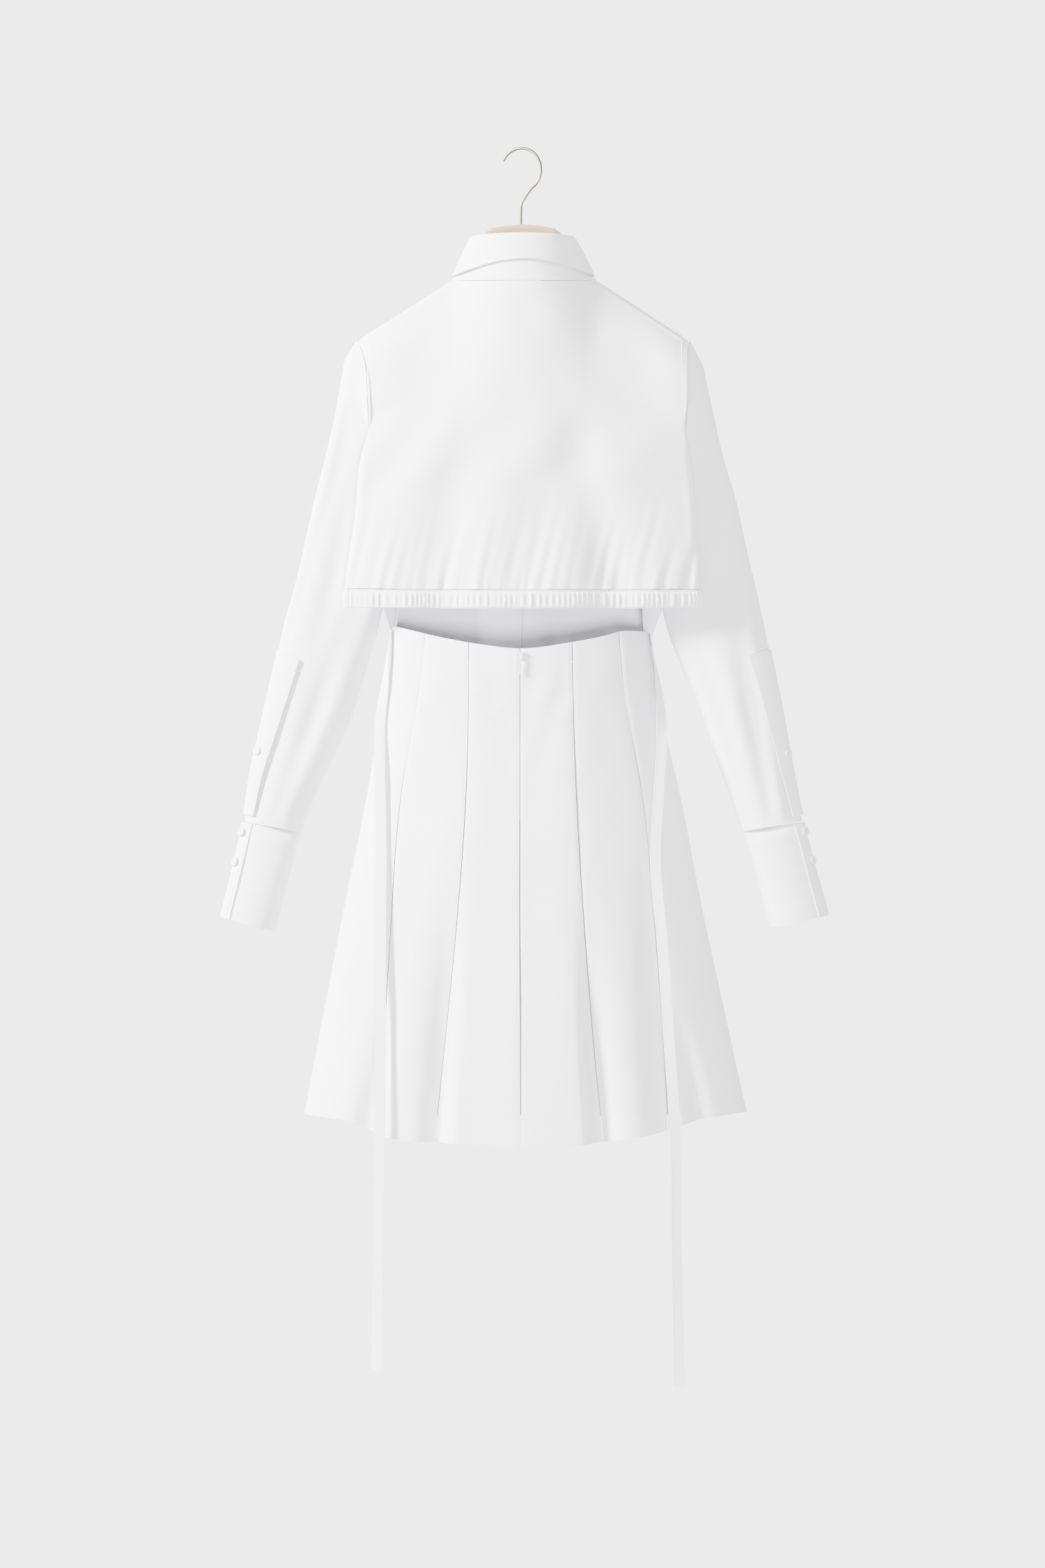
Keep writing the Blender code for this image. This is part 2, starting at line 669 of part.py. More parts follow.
def make_collar():
    """The stand laps at the front. The fall turns over its top and lies outside it, lowest at its front points."""
    degrees = np.linspace(-100, 260, 37)
    lap = np.array([(BAND_WALL + LAYER) * float(ease((angle - 215) / 30)) for angle in degrees])
    stand = []
    for height in np.linspace(0, 1, 4):
        ring = collar_ring(height, degrees)
        ring[:, 1] -= lap
        stand.append(ring)
    cloth("collar_stand", stand, wall=BAND_WALL)
    around = np.linspace(-82, 262, 35)
    heights = [row[0] for row in COLLAR_FALL] + [0.45]
    base = np.array([collar_ring(height, around) for height in heights])
    spread = moved_out(base, -1.0) - base
    fall = []
    for i, height in enumerate(heights):
        ring = base[i].copy()
        for k, angle in enumerate(around):
            front = max(0.0, -math.sin(math.radians(angle)))
            out = (COLLAR_FALL[i][1] if i < 4 else 4.6) + 4.4 * float(ease((front - 0.2) / 0.4))
            out += 1.6 * abs(math.cos(math.radians(angle))) ** 6
            ring[k] += spread[i][k] * out
            if i < 4:
                ring[k][2] += COLLAR_FALL[i][2]
            else:
                side = abs(math.cos(math.radians(angle)))
                ring[k][2] -= 18.0 * side**2 + 34.0 * front**2 * (1 - abs(math.sin(math.radians(angle))) ** 12)
                ring[k][0] *= 1 + 0.10 * side
            below = top_edge(ring[k][0], -1)[1] + 4.0 - ring[k][2]
            if angle < 0 or angle > 180:
                clear = abs(bodice_y(ring[k][0], min(ring[k][2], top_edge(ring[k][0], -1)[1]), -1)) + 3.0
                if below > 0:
                    ring[k][1] = -max(abs(ring[k][1]), clear)
        fall.append(ring)
    cloth("collar_fall", fall)


# ---------------------------------------------------------------- ties, zip and hanger


def make_tie(side):
    route = np.array(TIES[side], float)
    heights = np.linspace(route[0, 0], route[-1, 0], 20)
    outward = 1 if side == "left" else -1
    strip = []
    for z in heights:
        x, y = column(route, 1, z), column(route, 2, z)
        turn = float(ease((route[0, 0] - z) / 130.0)) * math.pi / 2 * 0.93
        flat = np.array([outward * math.sin(turn), -math.cos(turn), 0])
        strip.append([np.array([x, y, z]) + flat * TIE_WIDTH * s for s in (-0.5, 0.0, 0.5)])
    cloth(f"tie_{side}", strip)


def box(name, centre, size, look):
    mesh = bpy.data.meshes.new(name)
    work = bmesh.new()
    bmesh.ops.create_cube(work, size=1.0, matrix=Matrix.Diagonal((*(Vector(size) * MM), 1.0)))
    work.to_mesh(mesh)
    work.free()
    made = add_object(name, mesh, look)
    made.location = Vector(centre) * MM
    return made


ZIP_X = 3.0
ZIP_TOP_Z = -565.0
ZIP_LENGTH = 190.0


def make_zip():
    """Each tape lies inside the skirt beside the centre-back seam. The slider stands at the top, outside."""
    for side, sign in (("left", 1), ("right", -1)):
        rows = []
        for z in np.linspace(ZIP_TOP_Z - 2, ZIP_TOP_Z - ZIP_LENGTH, 6):
            depth = skirt_form(z)[2]
            rows.append([[ZIP_X + sign * s, depth - 2.1, z] for s in (0.4, 9.0)])
        cloth(f"zip_tape_{side}", rows, wall=0.8, look="zip")
    front = skirt_form(ZIP_TOP_Z - 12)[2] + WALL / 2 + LAYER
    box("zip_slider", (ZIP_X, front + 1.5, ZIP_TOP_Z - 5.5), (6.0, 3.0, 8.0), "zip")
    tab = box("zip_pull_tab", (0, 0, -8.5), (3.4, 1.2, 17.0), "zip")
    pivot = bpy.data.objects.new("pull_tab_pivot", None)
    PARTS.objects.link(pivot)
    pivot.location = Vector((ZIP_X, front + 4.0, ZIP_TOP_Z - 9.0)) * MM
    tab.parent = pivot


def poly_curve(name, points, radius):
    data = bpy.data.curves.new(name, "CURVE")
    data.dimensions = "3D"
    data.bevel_depth = radius * MM
    data.bevel_resolution = 2
    data.use_fill_caps = True
    line = data.splines.new("POLY")
    line.points.add(len(points) - 1)
    for point, at in zip(line.points, points):
        point.co = (*(Vector(at) * MM), 1)
    return data


def make_hook():
    """A round hook, swivelled a little, whose inside top is the origin, then an S down to its straight shank."""
    centre_z = HOOK_WIRE - HOOK_RADIUS
    flat = [(HOOK_RADIUS * math.cos(a), centre_z + HOOK_RADIUS * math.sin(a))
            for a in np.radians(np.arange(28, 226, 11))]
    flat += [(-8.0, -50.0), (-2.5, -57.5), (0.0, -66.0), (0.0, WOOD_TOP_Z - SHANK_DEPTH + 1.0)]
    turn = math.radians(HOOK_SWIVEL_DEG)
    points = [(SHANK_X + r * math.cos(turn), r * math.sin(turn), z) for r, z in flat]
    add_object("hanger_hook", poly_curve("hanger_hook", points, HOOK_WIRE), "nickel")


def wood_half(side):
    """The arm's upper edge and lower edge, from the middle out to the tip."""
    sign = 1 if side == "left" else -1
    end_x, end_z = SHOULDER[side]
    upper = [(0, WOOD_TOP_Z), (18, WOOD_TOP_Z - 1.5), (36, -88.5), (43, -94.0), (48, -108.0), (56, -128.0), (64, -142.0),
              (74, -155.0), (86, shoulder_line(sign * 86) - 1.6 * WOOD_BELOW)]
    upper += [(x, shoulder_line(sign * x) - WOOD_BELOW) for x in (110, 140, 168)]
    upper += [(178, shoulder_line(sign * 178) - WOOD_BELOW - 1.5), (abs(end_x) - 5.0, end_z - 7.0)]
    lower = [(abs(end_x) - 6.0, end_z - 13.0), (172, end_z - 13.0)]
    lower += [(x, shoulder_line(sign * x) - WOOD_BELOW - WOOD_ARM) for x in (140, 100)]
    lower += [(60, -160.0), (25, -146.0), (0, -141.0)]
    return [(sign * x, z) for x, z in upper + lower]


def make_wood():
    """A flat wooden body with rounded edges, bored from above for the hook's shank."""
    left, right = wood_half("left"), wood_half("right")
    outline = left + right[::-1][1:-1]
    mesh = bpy.data.meshes.new("hanger_body")
    work = bmesh.new()
    face = work.faces.new([work.verts.new(Vector((x, -WOOD_THICK / 2, z)) * MM) for x, z in outline])
    pulled = bmesh.ops.extrude_face_region(work, geom=[face])["geom"]
    moved = [item for item in pulled if isinstance(item, bmesh.types.BMVert)]
    bmesh.ops.translate(work, vec=Vector((0, WOOD_THICK, 0)) * MM, verts=moved)
    bmesh.ops.recalc_face_normals(work, faces=work.faces)
    work.to_mesh(mesh)
    work.free()
    made = add_object("hanger_body", mesh, "beech")
    edge = made.modifiers.new("Round edges", "BEVEL")
    edge.width = 3.6 * MM
    edge.segments = 2
    edge.limit_method = "ANGLE"
    edge.angle_limit = math.radians(60)
    cutter_mesh = bpy.data.meshes.new("shank_bore")
    work = bmesh.new()
    bmesh.ops.create_cone(work, cap_ends=True, segments=20, radius1=(HOOK_WIRE + LAYER) * MM,
                          radius2=(HOOK_WIRE + LAYER) * MM, depth=2 * SHANK_DEPTH * MM)
    work.to_mesh(cutter_mesh)
    work.free()
    cutter = bpy.data.objects.new("shank_bore", cutter_mesh)
    CUTTERS.objects.link(cutter)
    cutter.location = Vector((SHANK_X, 0, WOOD_TOP_Z)) * MM
    cutter.hide_render = True
    cutter.display_type = "WIRE"
    bore = made.modifiers.new("Bore", "BOOLEAN")
    bore.object = cutter
    bore.operation = "DIFFERENCE"
    bore.solver = "EXACT"


# ---------------------------------------------------------------- the bodice's pieces


ACROSS = 21


def make_back():
    rows = panel_rows(BACK_CORNER, 1, ACROSS, -495.0, BACK_HEM_Z, -496.0, 8)
    cloth("back", rows)
    return rows


def make_casings(back):
    """The elasticated hem: a thicker band below the back's lowest row, in three stretches."""
    low = back[-1]
    steps = np.linspace(0, 1, 4)
    band = []
    for t in steps:
        row = low.copy()
        row[:, 2] -= CASING_WALL / 2 + LAYER + CASING_HEIGHT * t - 0.8
        band.append(row)
    band = np.array(band)
    cloth("casing_back", band[:, TURN:-TURN], wall=CASING_WALL)
    for side, part in (("left", band[:, :TURN + 1]), ("right", band[:, -TURN - 1:])):
        part = part.copy()
        toward = part[:, -1] - part[:, -2] if side == "left" else part[:, 0] - part[:, 1]
        length = np.linalg.norm(toward, axis=1, keepdims=True)
        if side == "left":
            part[:, -1] -= toward / length * 1.2
        else:
            part[:, 0] -= toward / length * 1.2
        cloth(f"casing_{side}", part, wall=CASING_WALL)


def make_fronts():
    """Left and right fronts meet at the centre under a buttoned placket."""
    rows = panel_rows(FRONT_CORNER, -1, ACROSS, WAIST_SEAM_Z + 0.4, WAIST_SEAM_Z + 0.4, WAIST_SEAM_Z + 0.4, 8)
    middle = TURN + ACROSS // 2
    left, right = rows[:, : middle + 1].copy(), rows[:, middle:].copy()
    left[:, -1, 0] += SEAM
    right[:, 0, 0] -= SEAM
    cloth("front_left", left)
    cloth("front_right", right)
    strip = []
    top = rows[0][middle][2] - 3.0
    for z in np.linspace(top, WAIST_SEAM_Z + 4.0, 12):
        strip.append([[rows[0][middle][0] + s, bodice_y(s, z, -1) - WALL - LAYER, z] for s in (13.0, 0.0, -13.0)])
    cloth("front_placket", strip)
    for number, t in enumerate(np.linspace(0.08, 0.92, 5), 1):
        z = lerp(top, WAIST_SEAM_Z, t)
        y = bodice_y(0.0, z, -1) - 1.5 * WALL - LAYER - 0.4 - BUTTON_THICK / 2
        disc(f"button_front_{number}", (rows[0][middle][0], y, z), (0, -1, 0), BUTTON_RADIUS, BUTTON_THICK, "button")


def make_skirt():
    def seam(index):
        return lambda z: seam_angle(index, z)

    def at(degrees):
        return lambda z: math.radians(degrees)

    panels = (
        ("skirt_side_back_left", at(0), seam(1), 7),
        ("skirt_mid_back_left", seam(1), seam(2), 7),
        ("skirt_back_left", seam(2), seam(3), 8),
        ("skirt_back_right", seam(3), seam(4), 8),
        ("skirt_mid_back_right", seam(4), seam(5), 7),
        ("skirt_side_back_right", seam(5), at(180), 7),
    )
    for name, start, end, count in panels:
        cloth(name, skirt_panel(start, end, count, 8))
    cloth("skirt_front", skirt_panel(at(180), at(360), 25, 7, front=True))


clear_scene()
PARTS = collection("shirt_dress_on_hanger")
CUTTERS = collection("cutters", hidden=True)
make_wood()
make_hook()
make_collar()
make_casings(make_back())
make_fronts()
for arm in ("left", "right"):
    make_arm(arm)
    make_tie(arm)
make_skirt()
make_zip()
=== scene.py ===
"""The looks of a white shirt dress hung on a wooden hanger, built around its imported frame.

Tables are in millimetres and objects in metres. +Z is up, +Y is the dress's back, +X its wearer's left. Each
cut piece is a fine shell on its solid's form: a coarse grid of the form, refined by cubics, with its gathers,
creases and seams pressed in, and rows of stitches laid on it.
"""

import math

import bmesh
import bpy
import numpy as np
from mathutils import Euler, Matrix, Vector


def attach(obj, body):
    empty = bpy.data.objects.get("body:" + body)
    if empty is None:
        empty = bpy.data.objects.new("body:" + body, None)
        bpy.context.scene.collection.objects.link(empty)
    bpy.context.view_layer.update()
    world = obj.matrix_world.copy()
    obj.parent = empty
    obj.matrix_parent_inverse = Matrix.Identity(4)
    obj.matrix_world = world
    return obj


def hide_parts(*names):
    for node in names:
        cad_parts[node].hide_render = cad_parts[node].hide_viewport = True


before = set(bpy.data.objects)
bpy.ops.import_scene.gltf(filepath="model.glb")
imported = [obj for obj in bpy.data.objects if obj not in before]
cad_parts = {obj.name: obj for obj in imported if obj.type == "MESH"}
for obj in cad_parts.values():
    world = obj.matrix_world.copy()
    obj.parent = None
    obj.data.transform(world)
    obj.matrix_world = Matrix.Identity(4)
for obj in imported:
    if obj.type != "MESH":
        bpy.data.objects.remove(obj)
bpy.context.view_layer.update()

MM = 0.001
WALL = 1.2  # cloth
BAND_WALL = 1.6  # collar and cuffs: two layers and an interlining
CASING_WALL = 2.4  # a folded casing with elastic inside
SEAM = 0.25  # each side of a seam line keeps this much clear
LAYER = 0.4  # clear space between a piece and what lies on it

# Shoulders and neck
SHOULDER = {"left": (186.0, -215.5), "right": (-188.0, -216.0)}  # x, z of the sleeve-head end
NECK_HALF = 82.0
NECK_MID_X = -2.0
NECK_Z = -148.0
NECK_BACK_DEPTH = 44.0
NECK_BACK_DROP = 4.0
NECK_FRONT_DROP = 40.0
SHOULDER_ROUND = 7.0  # the cloth rounds over the hanger's arm on this radius

# Bodice
UNDERARM_Z = -398.0
BACK_HEM_Z = -497.0  # the casing's seam at the centre
CASING_HEIGHT = 20.0
WAIST_SEAM_Z = -575.0
BACK_DEPTH = 56.0
CORNER_DEPTH = 36.0
FRONT_DEPTH = 50.0

# z, left x, right x: where the back turns round its side, from the shoulder down to the hem
BACK_CORNER = (
    (-211.0, 176.0, -179.0),
    (-243.0, 168.0, -177.0),
    (-265.0, 165.0, -178.0),
    (-304.0, 168.0, -180.0),
    (-348.0, 175.0, -183.0),
    (-381.0, 179.0, -187.0),
    (-425.0, 184.0, -190.0),
    (-464.0, 190.0, -193.0),
    (-518.0, 197.0, -197.0),
)
# z, left x, right x: the hidden front turns round its side further in
FRONT_CORNER = (
    (-211.0, 176.0, -179.0),
    (-265.0, 165.0, -174.0),
    (-304.0, 167.0, -176.0),
    (-348.0, 170.0, -176.0),
    (-400.0, 168.0, -172.0),
    (-464.0, 162.0, -165.0),
    (-510.0, 155.0, -157.0),
    (-545.0, 147.5, -145.5),
    (-600.0, 146.0, -144.0),
)
# share of the way down the armhole, left x, right x, y each side, z
ARMHOLE = (
    (0.00, 186.0, -188.0, 1.0, -215.5),
    (0.10, 180.0, -186.0, 12.0, -228.0),
    (0.24, 175.0, -185.0, 24.0, -250.0),
    (0.42, 173.0, -185.0, 30.0, -290.0),
    (0.60, 171.0, -181.0, 28.0, -328.0),
    (0.78, 160.0, -170.0, 20.0, -362.0),
    (0.90, 147.0, -157.0, 9.0, -387.0),
    (1.00, 137.0, -145.0, 1.0, -398.0),
)
# z, left x, right x: the side seam from the underarm to the waist
SIDE_SEAM = (
    (-398.0, 137.0, -145.0),
    (-450.0, 138.0, -142.0),
    (-500.0, 140.0, -137.0),
    (-541.0, 144.0, -138.0),
    (-600.0, 150.0, -150.0),
)
# Long soft folds of the free back: x at the top, x at the hem, z of the top, half-width, depth
BACK_FOLDS = (
    ("left", 49.0, 90.0, -215.0, 26.0, 6.0),
    ("right", -30.0, -98.0, -185.0, 28.0, 8.0),
)

# Skirt: z, left x, right x, half depth
SKIRT = (
    (-535.0, 146.0, -140.0, 50.0),
    (-569.0, 147.0, -146.0, 53.0),
    (-593.0, 151.0, -150.0, 55.0),
    (-642.0, 160.0, -157.0, 58.0),
    (-702.0, 170.0, -171.0, 62.0),
    (-753.0, 180.0, -182.0, 65.0),
    (-835.0, 197.0, -198.0, 69.0),
    (-948.0, 219.0, -222.0, 74.0),
    (-1037.0, 236.0, -242.0, 78.0),
    (-1120.0, 251.0, -262.0, 82.0),
)
# x, z of the skirt back's top edge, and of the hem behind
SKIRT_TOP = ((-140, -543), (-107, -544), (-97, -547), (-54, -556), (4, -563), (49, -558), (92, -550), (147, -536))
SKIRT_HEM = ((-262, -1081), (-195, -1089), (-158, -1101), (-118, -1108), (-55, -1115), (3, -1116), (96, -1112),
             (151, -1107), (189, -1092), (251, -1084))
FRONT_HEM_DROP = 10.0  # the front hem dips this much at its centre
# z, then x of the seams: left outer, left inner, centre back, right inner, right outer
SKIRT_SEAMS = (
    (-535.0, 108.0, 60.0, 3.0, -55.0, -107.0),
    (-601.0, 115.0, 60.0, 3.0, -56.0, -113.0),
    (-729.0, 136.0, 63.0, 3.0, -60.0, -134.0),
    (-890.0, 148.0, 75.0, 3.0, -70.0, -149.0),
    (-1012.0, 155.0, 87.0, 2.0, -80.0, -158.0),
    (-1120.0, 160.0, 99.0, 2.0, -91.0, -163.0),
)
# Folds of the skirt, behind and in front: x at the top and at the hem, z of the top, then the half-width
# towards each side and the depth at the hem
SKIRT_BACK_FOLDS = (
    ("left godet", 70.0, 92.0, -800.0, 20.0, 9.0, 17.0),
    ("right godet", -66.0, -84.0, -820.0, 9.0, 22.0, 17.0),
    ("right valley", -132.0, -158.0, -760.0, 14.0, 12.0, 15.0),
    ("right edge", -165.0, -196.0, -930.0, 8.0, 16.0, 13.0),
    ("left side", 140.0, 172.0, -900.0, 16.0, 14.0, 14.0),
)
SKIRT_FRONT_FOLDS = (
    ("left godet", 78.0, 104.0, -830.0, 12.0, 20.0, 15.0),
    ("right godet", -72.0, -96.0, -810.0, 22.0, 12.0, 16.0),
    ("left side", 142.0, 176.0, -880.0, 16.0, 14.0, 12.0),
    ("right side", -146.0, -182.0, -900.0, 14.0, 16.0, 12.0),
)

# Sleeves, from the armhole down to the cuff: outer x, outer z, inner x, inner z, half depth
SLEEVES = {
    "left": (
        (198.0, -237.0, 140.0, -408.0, 20.5),
        (208.0, -287.0, 143.0, -424.0, 14.5),
        (222.0, -350.0, 148.0, -450.0, 13.0),
        (237.0, -412.0, 154.0, -490.0, 13.5),
        (252.0, -480.0, 163.0, -535.0, 14.5),
        (268.0, -540.0, 177.0, -585.0, 16.0),
        (281.0, -598.0, 195.0, -642.0, 17.0),
        (294.0, -655.0, 216.0, -690.0, 17.0),
        (304.0, -700.0, 234.0, -728.0, 16.0),
        (312.5, -756.0, 249.0, -768.0, 15.0),
    ),
    "right": (
        (-203.0, -245.0, -147.0, -408.0, 20.5),
        (-212.0, -290.0, -148.0, -424.0, 14.5),
        (-224.0, -348.0, -150.0, -450.0, 13.0),
        (-240.0, -400.0, -155.0, -490.0, 13.5),
        (-257.0, -475.0, -163.0, -536.0, 14.5),
        (-271.0, -538.0, -179.0, -578.0, 16.0),
        (-284.0, -598.0, -197.0, -620.0, 17.0),
        (-295.0, -655.0, -216.0, -676.0, 17.0),
        (-304.0, -705.0, -232.0, -722.0, 16.0),
        (-314.5, -756.0, -247.5, -767.0, 15.0),
    ),
}
CUFFS = {
    "left": (
        (313.0, -757.2, 249.5, -768.9, 15.0),
        (325.0, -810.0, 261.5, -812.0, 15.5),
        (338.0, -864.0, 279.0, -880.0, 16.5),
    ),
    "right": (
        (-315.0, -757.2, -248.0, -767.8, 15.0),
        (-328.0, -808.0, -261.5, -810.0, 15.5),
        (-343.0, -862.0, -277.5, -876.0, 16.5),
    ),
}
# The sleeve's opening, as degrees round from its outer edge: the placket's edge at its top and at the cuff
UNDERARM_TAPER = 0.55  # the sleeve is thinner towards the underarm, down to this share of its length
UNDERARM_REACH = 0.45
PLACKET_TOP_DEG = 62.0
PLACKET_LOW_DEG = 48.0
PLACKET_BACK_DEG = -14.0
CUFF_UNDER_DEG = -12.0
BUTTON_RADIUS = 5.2
BUTTON_THICK = 2.2

# Ties: z, x, y of the left and of the right one
TIE_WIDTH = 12.0
TIES = {
    "left": ((-540, 148.2, 5), (-600, 154, 12), (-647, 160, 20), (-694, 160, 31), (-757, 158, 40), (-885, 158, 54),
             (-1000, 158, 64), (-1092, 158, 72), (-1230, 160, 75), (-1365, 162, 75)),
    "right": ((-544, -143.0, 5), (-600, -152, 12), (-654, -156, 27), (-710, -153, 39), (-796, -148, 48),
              (-885, -155, 56), (-1000, -163, 62), (-1092, -169, 69), (-1230, -171, 72), (-1382, -174, 72)),
}

# Hanger
HOOK_WIRE = 1.75
HOOK_RADIUS = 25.0
HOOK_SWIVEL_DEG = -25.0
SHANK_X = 2.0



# ---------------------------------------------------------------- materials


def new_material(name):
    made = bpy.data.materials.new(name)
    made.use_nodes = True
    tree = made.node_tree
    return made, tree, tree.nodes["Principled BSDF"]


def node(tree, kind, **settings):
    made = tree.nodes.new(kind)
    for key, value in settings.items():
        if hasattr(made, key):
            setattr(made, key, value)
        else:
            made.inputs[key].default_value = value
    return made


def two_tone(tree, factor, dark, light):
    mix = node(tree, "ShaderNodeMix", data_type="RGBA")
    tree.links.new(factor, mix.inputs["Factor"])
    mix.inputs[6].default_value = (*dark, 1)
    mix.inputs[7].default_value = (*light, 1)
    return mix.outputs[2]


def cotton(name, dark, light, weave_pitch=0.00045, roughness=0.88):
    """Poplin: two crossed sets of threads as bump, slubs, and a faint unevenness of tone."""
    made, tree, shader = new_material(name)
    place = node(tree, "ShaderNodeTexCoord")
    weave = []
    for direction in ("Z", "DIAGONAL"):
        wave = node(tree, "ShaderNodeTexWave", bands_direction=direction)
        wave.inputs["Scale"].default_value = 0.314 / weave_pitch / (1 if direction == "Z" else 1.7)
        wave.inputs["Distortion"].default_value = 1.2
        tree.links.new(place.outputs["Object"], wave.inputs["Vector"])
        weave.append(wave.outputs["Fac"])
    crossed = node(tree, "ShaderNodeMath", operation="ADD")
    tree.links.new(weave[0], crossed.inputs[0])
    tree.links.new(weave[1], crossed.inputs[1])
    crumple = node(tree, "ShaderNodeTexNoise")
    crumple.inputs["Scale"].default_value = 45.0
    crumple.inputs["Detail"].default_value = 5.0
    tree.links.new(place.outputs["Object"], crumple.inputs["Vector"])
    tone = node(tree, "ShaderNodeTexNoise")
    tone.inputs["Scale"].default_value = 9.0
    tree.links.new(place.outputs["Object"], tone.inputs["Vector"])
    tree.links.new(two_tone(tree, tone.outputs["Fac"], dark, light), shader.inputs["Base Color"])
    fine = node(tree, "ShaderNodeBump")
    fine.inputs["Strength"].default_value = 0.25
    fine.inputs["Distance"].default_value = 0.00012
    tree.links.new(crossed.outputs[0], fine.inputs["Height"])
    soft = node(tree, "ShaderNodeBump")
    soft.inputs["Strength"].default_value = 0.35
    soft.inputs["Distance"].default_value = 0.0009
    tree.links.new(crumple.outputs["Fac"], soft.inputs["Height"])
    tree.links.new(fine.outputs["Normal"], soft.inputs["Normal"])
    tree.links.new(soft.outputs["Normal"], shader.inputs["Normal"])
    shader.inputs["Roughness"].default_value = roughness
    shader.inputs["Sheen Weight"].default_value = 0.12
    shader.inputs["Sheen Roughness"].default_value = 0.5
    shader.inputs["Specular IOR Level"].default_value = 0.25
    return made


def pearl():
    made, tree, shader = new_material("pearl_button")
    place = node(tree, "ShaderNodeTexCoord")
    swirl = node(tree, "ShaderNodeTexNoise")
    swirl.inputs["Scale"].default_value = 160.0
    swirl.inputs["Distortion"].default_value = 2.0
    tree.links.new(place.outputs["Object"], swirl.inputs["Vector"])
    colour = two_tone(tree, swirl.outputs["Fac"], (0.56, 0.55, 0.54), (0.72, 0.71, 0.72))
    tree.links.new(colour, shader.inputs["Base Color"])
    shader.inputs["Roughness"].default_value = 0.22
    shader.inputs["Coat Weight"].default_value = 0.5
    return made


def enamel():
    made, tree, shader = new_material("white_enamel")
    place = node(tree, "ShaderNodeTexCoord")
    grain = node(tree, "ShaderNodeTexNoise")
    grain.inputs["Scale"].default_value = 700.0
    tree.links.new(place.outputs["Object"], grain.inputs["Vector"])
    colour = two_tone(tree, grain.outputs["Fac"], (0.50, 0.50, 0.52), (0.60, 0.60, 0.62))
    tree.links.new(colour, shader.inputs["Base Color"])
    shader.inputs["Roughness"].default_value = 0.3
    return made


def beech():
    """Pale wood: long stretched grain along the arms, with short flecks."""
    made, tree, shader = new_material("pale_beech")
    place = node(tree, "ShaderNodeTexCoord")
    stretch = node(tree, "ShaderNodeMapping")
    stretch.inputs["Scale"].default_value = (9.0, 120.0, 120.0)
    tree.links.new(place.outputs["Object"], stretch.inputs["Vector"])
    grain = node(tree, "ShaderNodeTexNoise")
    grain.inputs["Scale"].default_value = 2.2
    grain.inputs["Detail"].default_value = 8.0
    grain.inputs["Distortion"].default_value = 0.6
    tree.links.new(stretch.outputs["Vector"], grain.inputs["Vector"])
    colour = two_tone(tree, grain.outputs["Fac"], (0.30, 0.185, 0.10), (0.46, 0.31, 0.18))
    tree.links.new(colour, shader.inputs["Base Color"])
    bump = node(tree, "ShaderNodeBump")
    bump.inputs["Strength"].default_value = 0.2
    bump.inputs["Distance"].default_value = 0.0003
    tree.links.new(grain.outputs["Fac"], bump.inputs["Height"])
    tree.links.new(bump.outputs["Normal"], shader.inputs["Normal"])
    shader.inputs["Roughness"].default_value = 0.48
    return made


def nickel():
    """Satin nickel wire: fine drawing marks in its roughness and tone."""
    made, tree, shader = new_material("satin_nickel")
    place = node(tree, "ShaderNodeTexCoord")
    marks = node(tree, "ShaderNodeTexNoise")
    marks.inputs["Scale"].default_value = 60.0
    marks.inputs["Detail"].default_value = 3.0
    tree.links.new(place.outputs["Object"], marks.inputs["Vector"])
    spread = node(tree, "ShaderNodeMapRange")
    spread.inputs["To Min"].default_value = 0.36
    spread.inputs["To Max"].default_value = 0.42
    tree.links.new(marks.outputs["Fac"], spread.inputs["Value"])
    tree.links.new(spread.outputs["Result"], shader.inputs["Roughness"])
    colour = two_tone(tree, marks.outputs["Fac"], (0.150, 0.132, 0.108), (0.185, 0.165, 0.137))
    tree.links.new(colour, shader.inputs["Base Color"])
    shader.inputs["Metallic"].default_value = 1.0
    return made


MATERIALS = {
    "cotton": cotton("cotton_poplin", (0.665, 0.665, 0.70), (0.73, 0.73, 0.765)),
    "thread": cotton("sewing_thread", (0.56, 0.56, 0.60), (0.64, 0.64, 0.68), 0.0002, 0.7),
    "tape": cotton("zip_tape", (0.58, 0.58, 0.61), (0.66, 0.66, 0.69), 0.0006, 0.8),
    "button": pearl(),
    "enamel": enamel(),
    "beech": beech(),
    "nickel": nickel(),
}


# ---------------------------------------------------------------- curves and surfaces


def smooth_at(knots, values, at):
    """A smooth curve through the values at rising or falling knots, read at the given places."""
    x = np.asarray(knots, float)
    y = np.asarray(values, float)
    if x[0] > x[-1]:
        x, y = x[::-1], y[::-1]
    at = np.clip(np.asarray(at, float), x[0], x[-1])
    slope = np.gradient(y, x)
    i = np.clip(np.searchsorted(x, at) - 1, 0, len(x) - 2)
    h = x[i + 1] - x[i]
    t = (at - x[i]) / h
    return (
        (1 + 2 * t) * (1 - t) ** 2 * y[i]
        + t * (1 - t) ** 2 * h * slope[i]
        + t**2 * (3 - 2 * t) * y[i + 1]
        + t**2 * (t - 1) * h * slope[i + 1]
    )


def column(table, index, at):
    rows = np.array([row for row in table], float)
    return smooth_at(rows[:, 0], rows[:, index], at)


def ease(t):
    t = np.clip(t, 0.0, 1.0)
    return t * t * (3 - 2 * t)


def side_index(side):
    return 1 if side == "left" else 2


def moved_out(rows, distance, closed=False):
    """The grid's points moved along its normals, towards the side that the rows turn their right hand to."""
    grid = np.asarray(rows, float)
    if closed:
        across = np.roll(grid, -1, axis=1) - np.roll(grid, 1, axis=1)
    else:
        across = np.gradient(grid, axis=1)
    down = np.gradient(grid, axis=0)
    normal = np.cross(across, down)
    normal /= np.linalg.norm(normal, axis=2, keepdims=True)
    return grid + normal * distance


def lerp(a, b, t):
    return a + (b - a) * t


# ---------------------------------------------------------------- the bodice's form


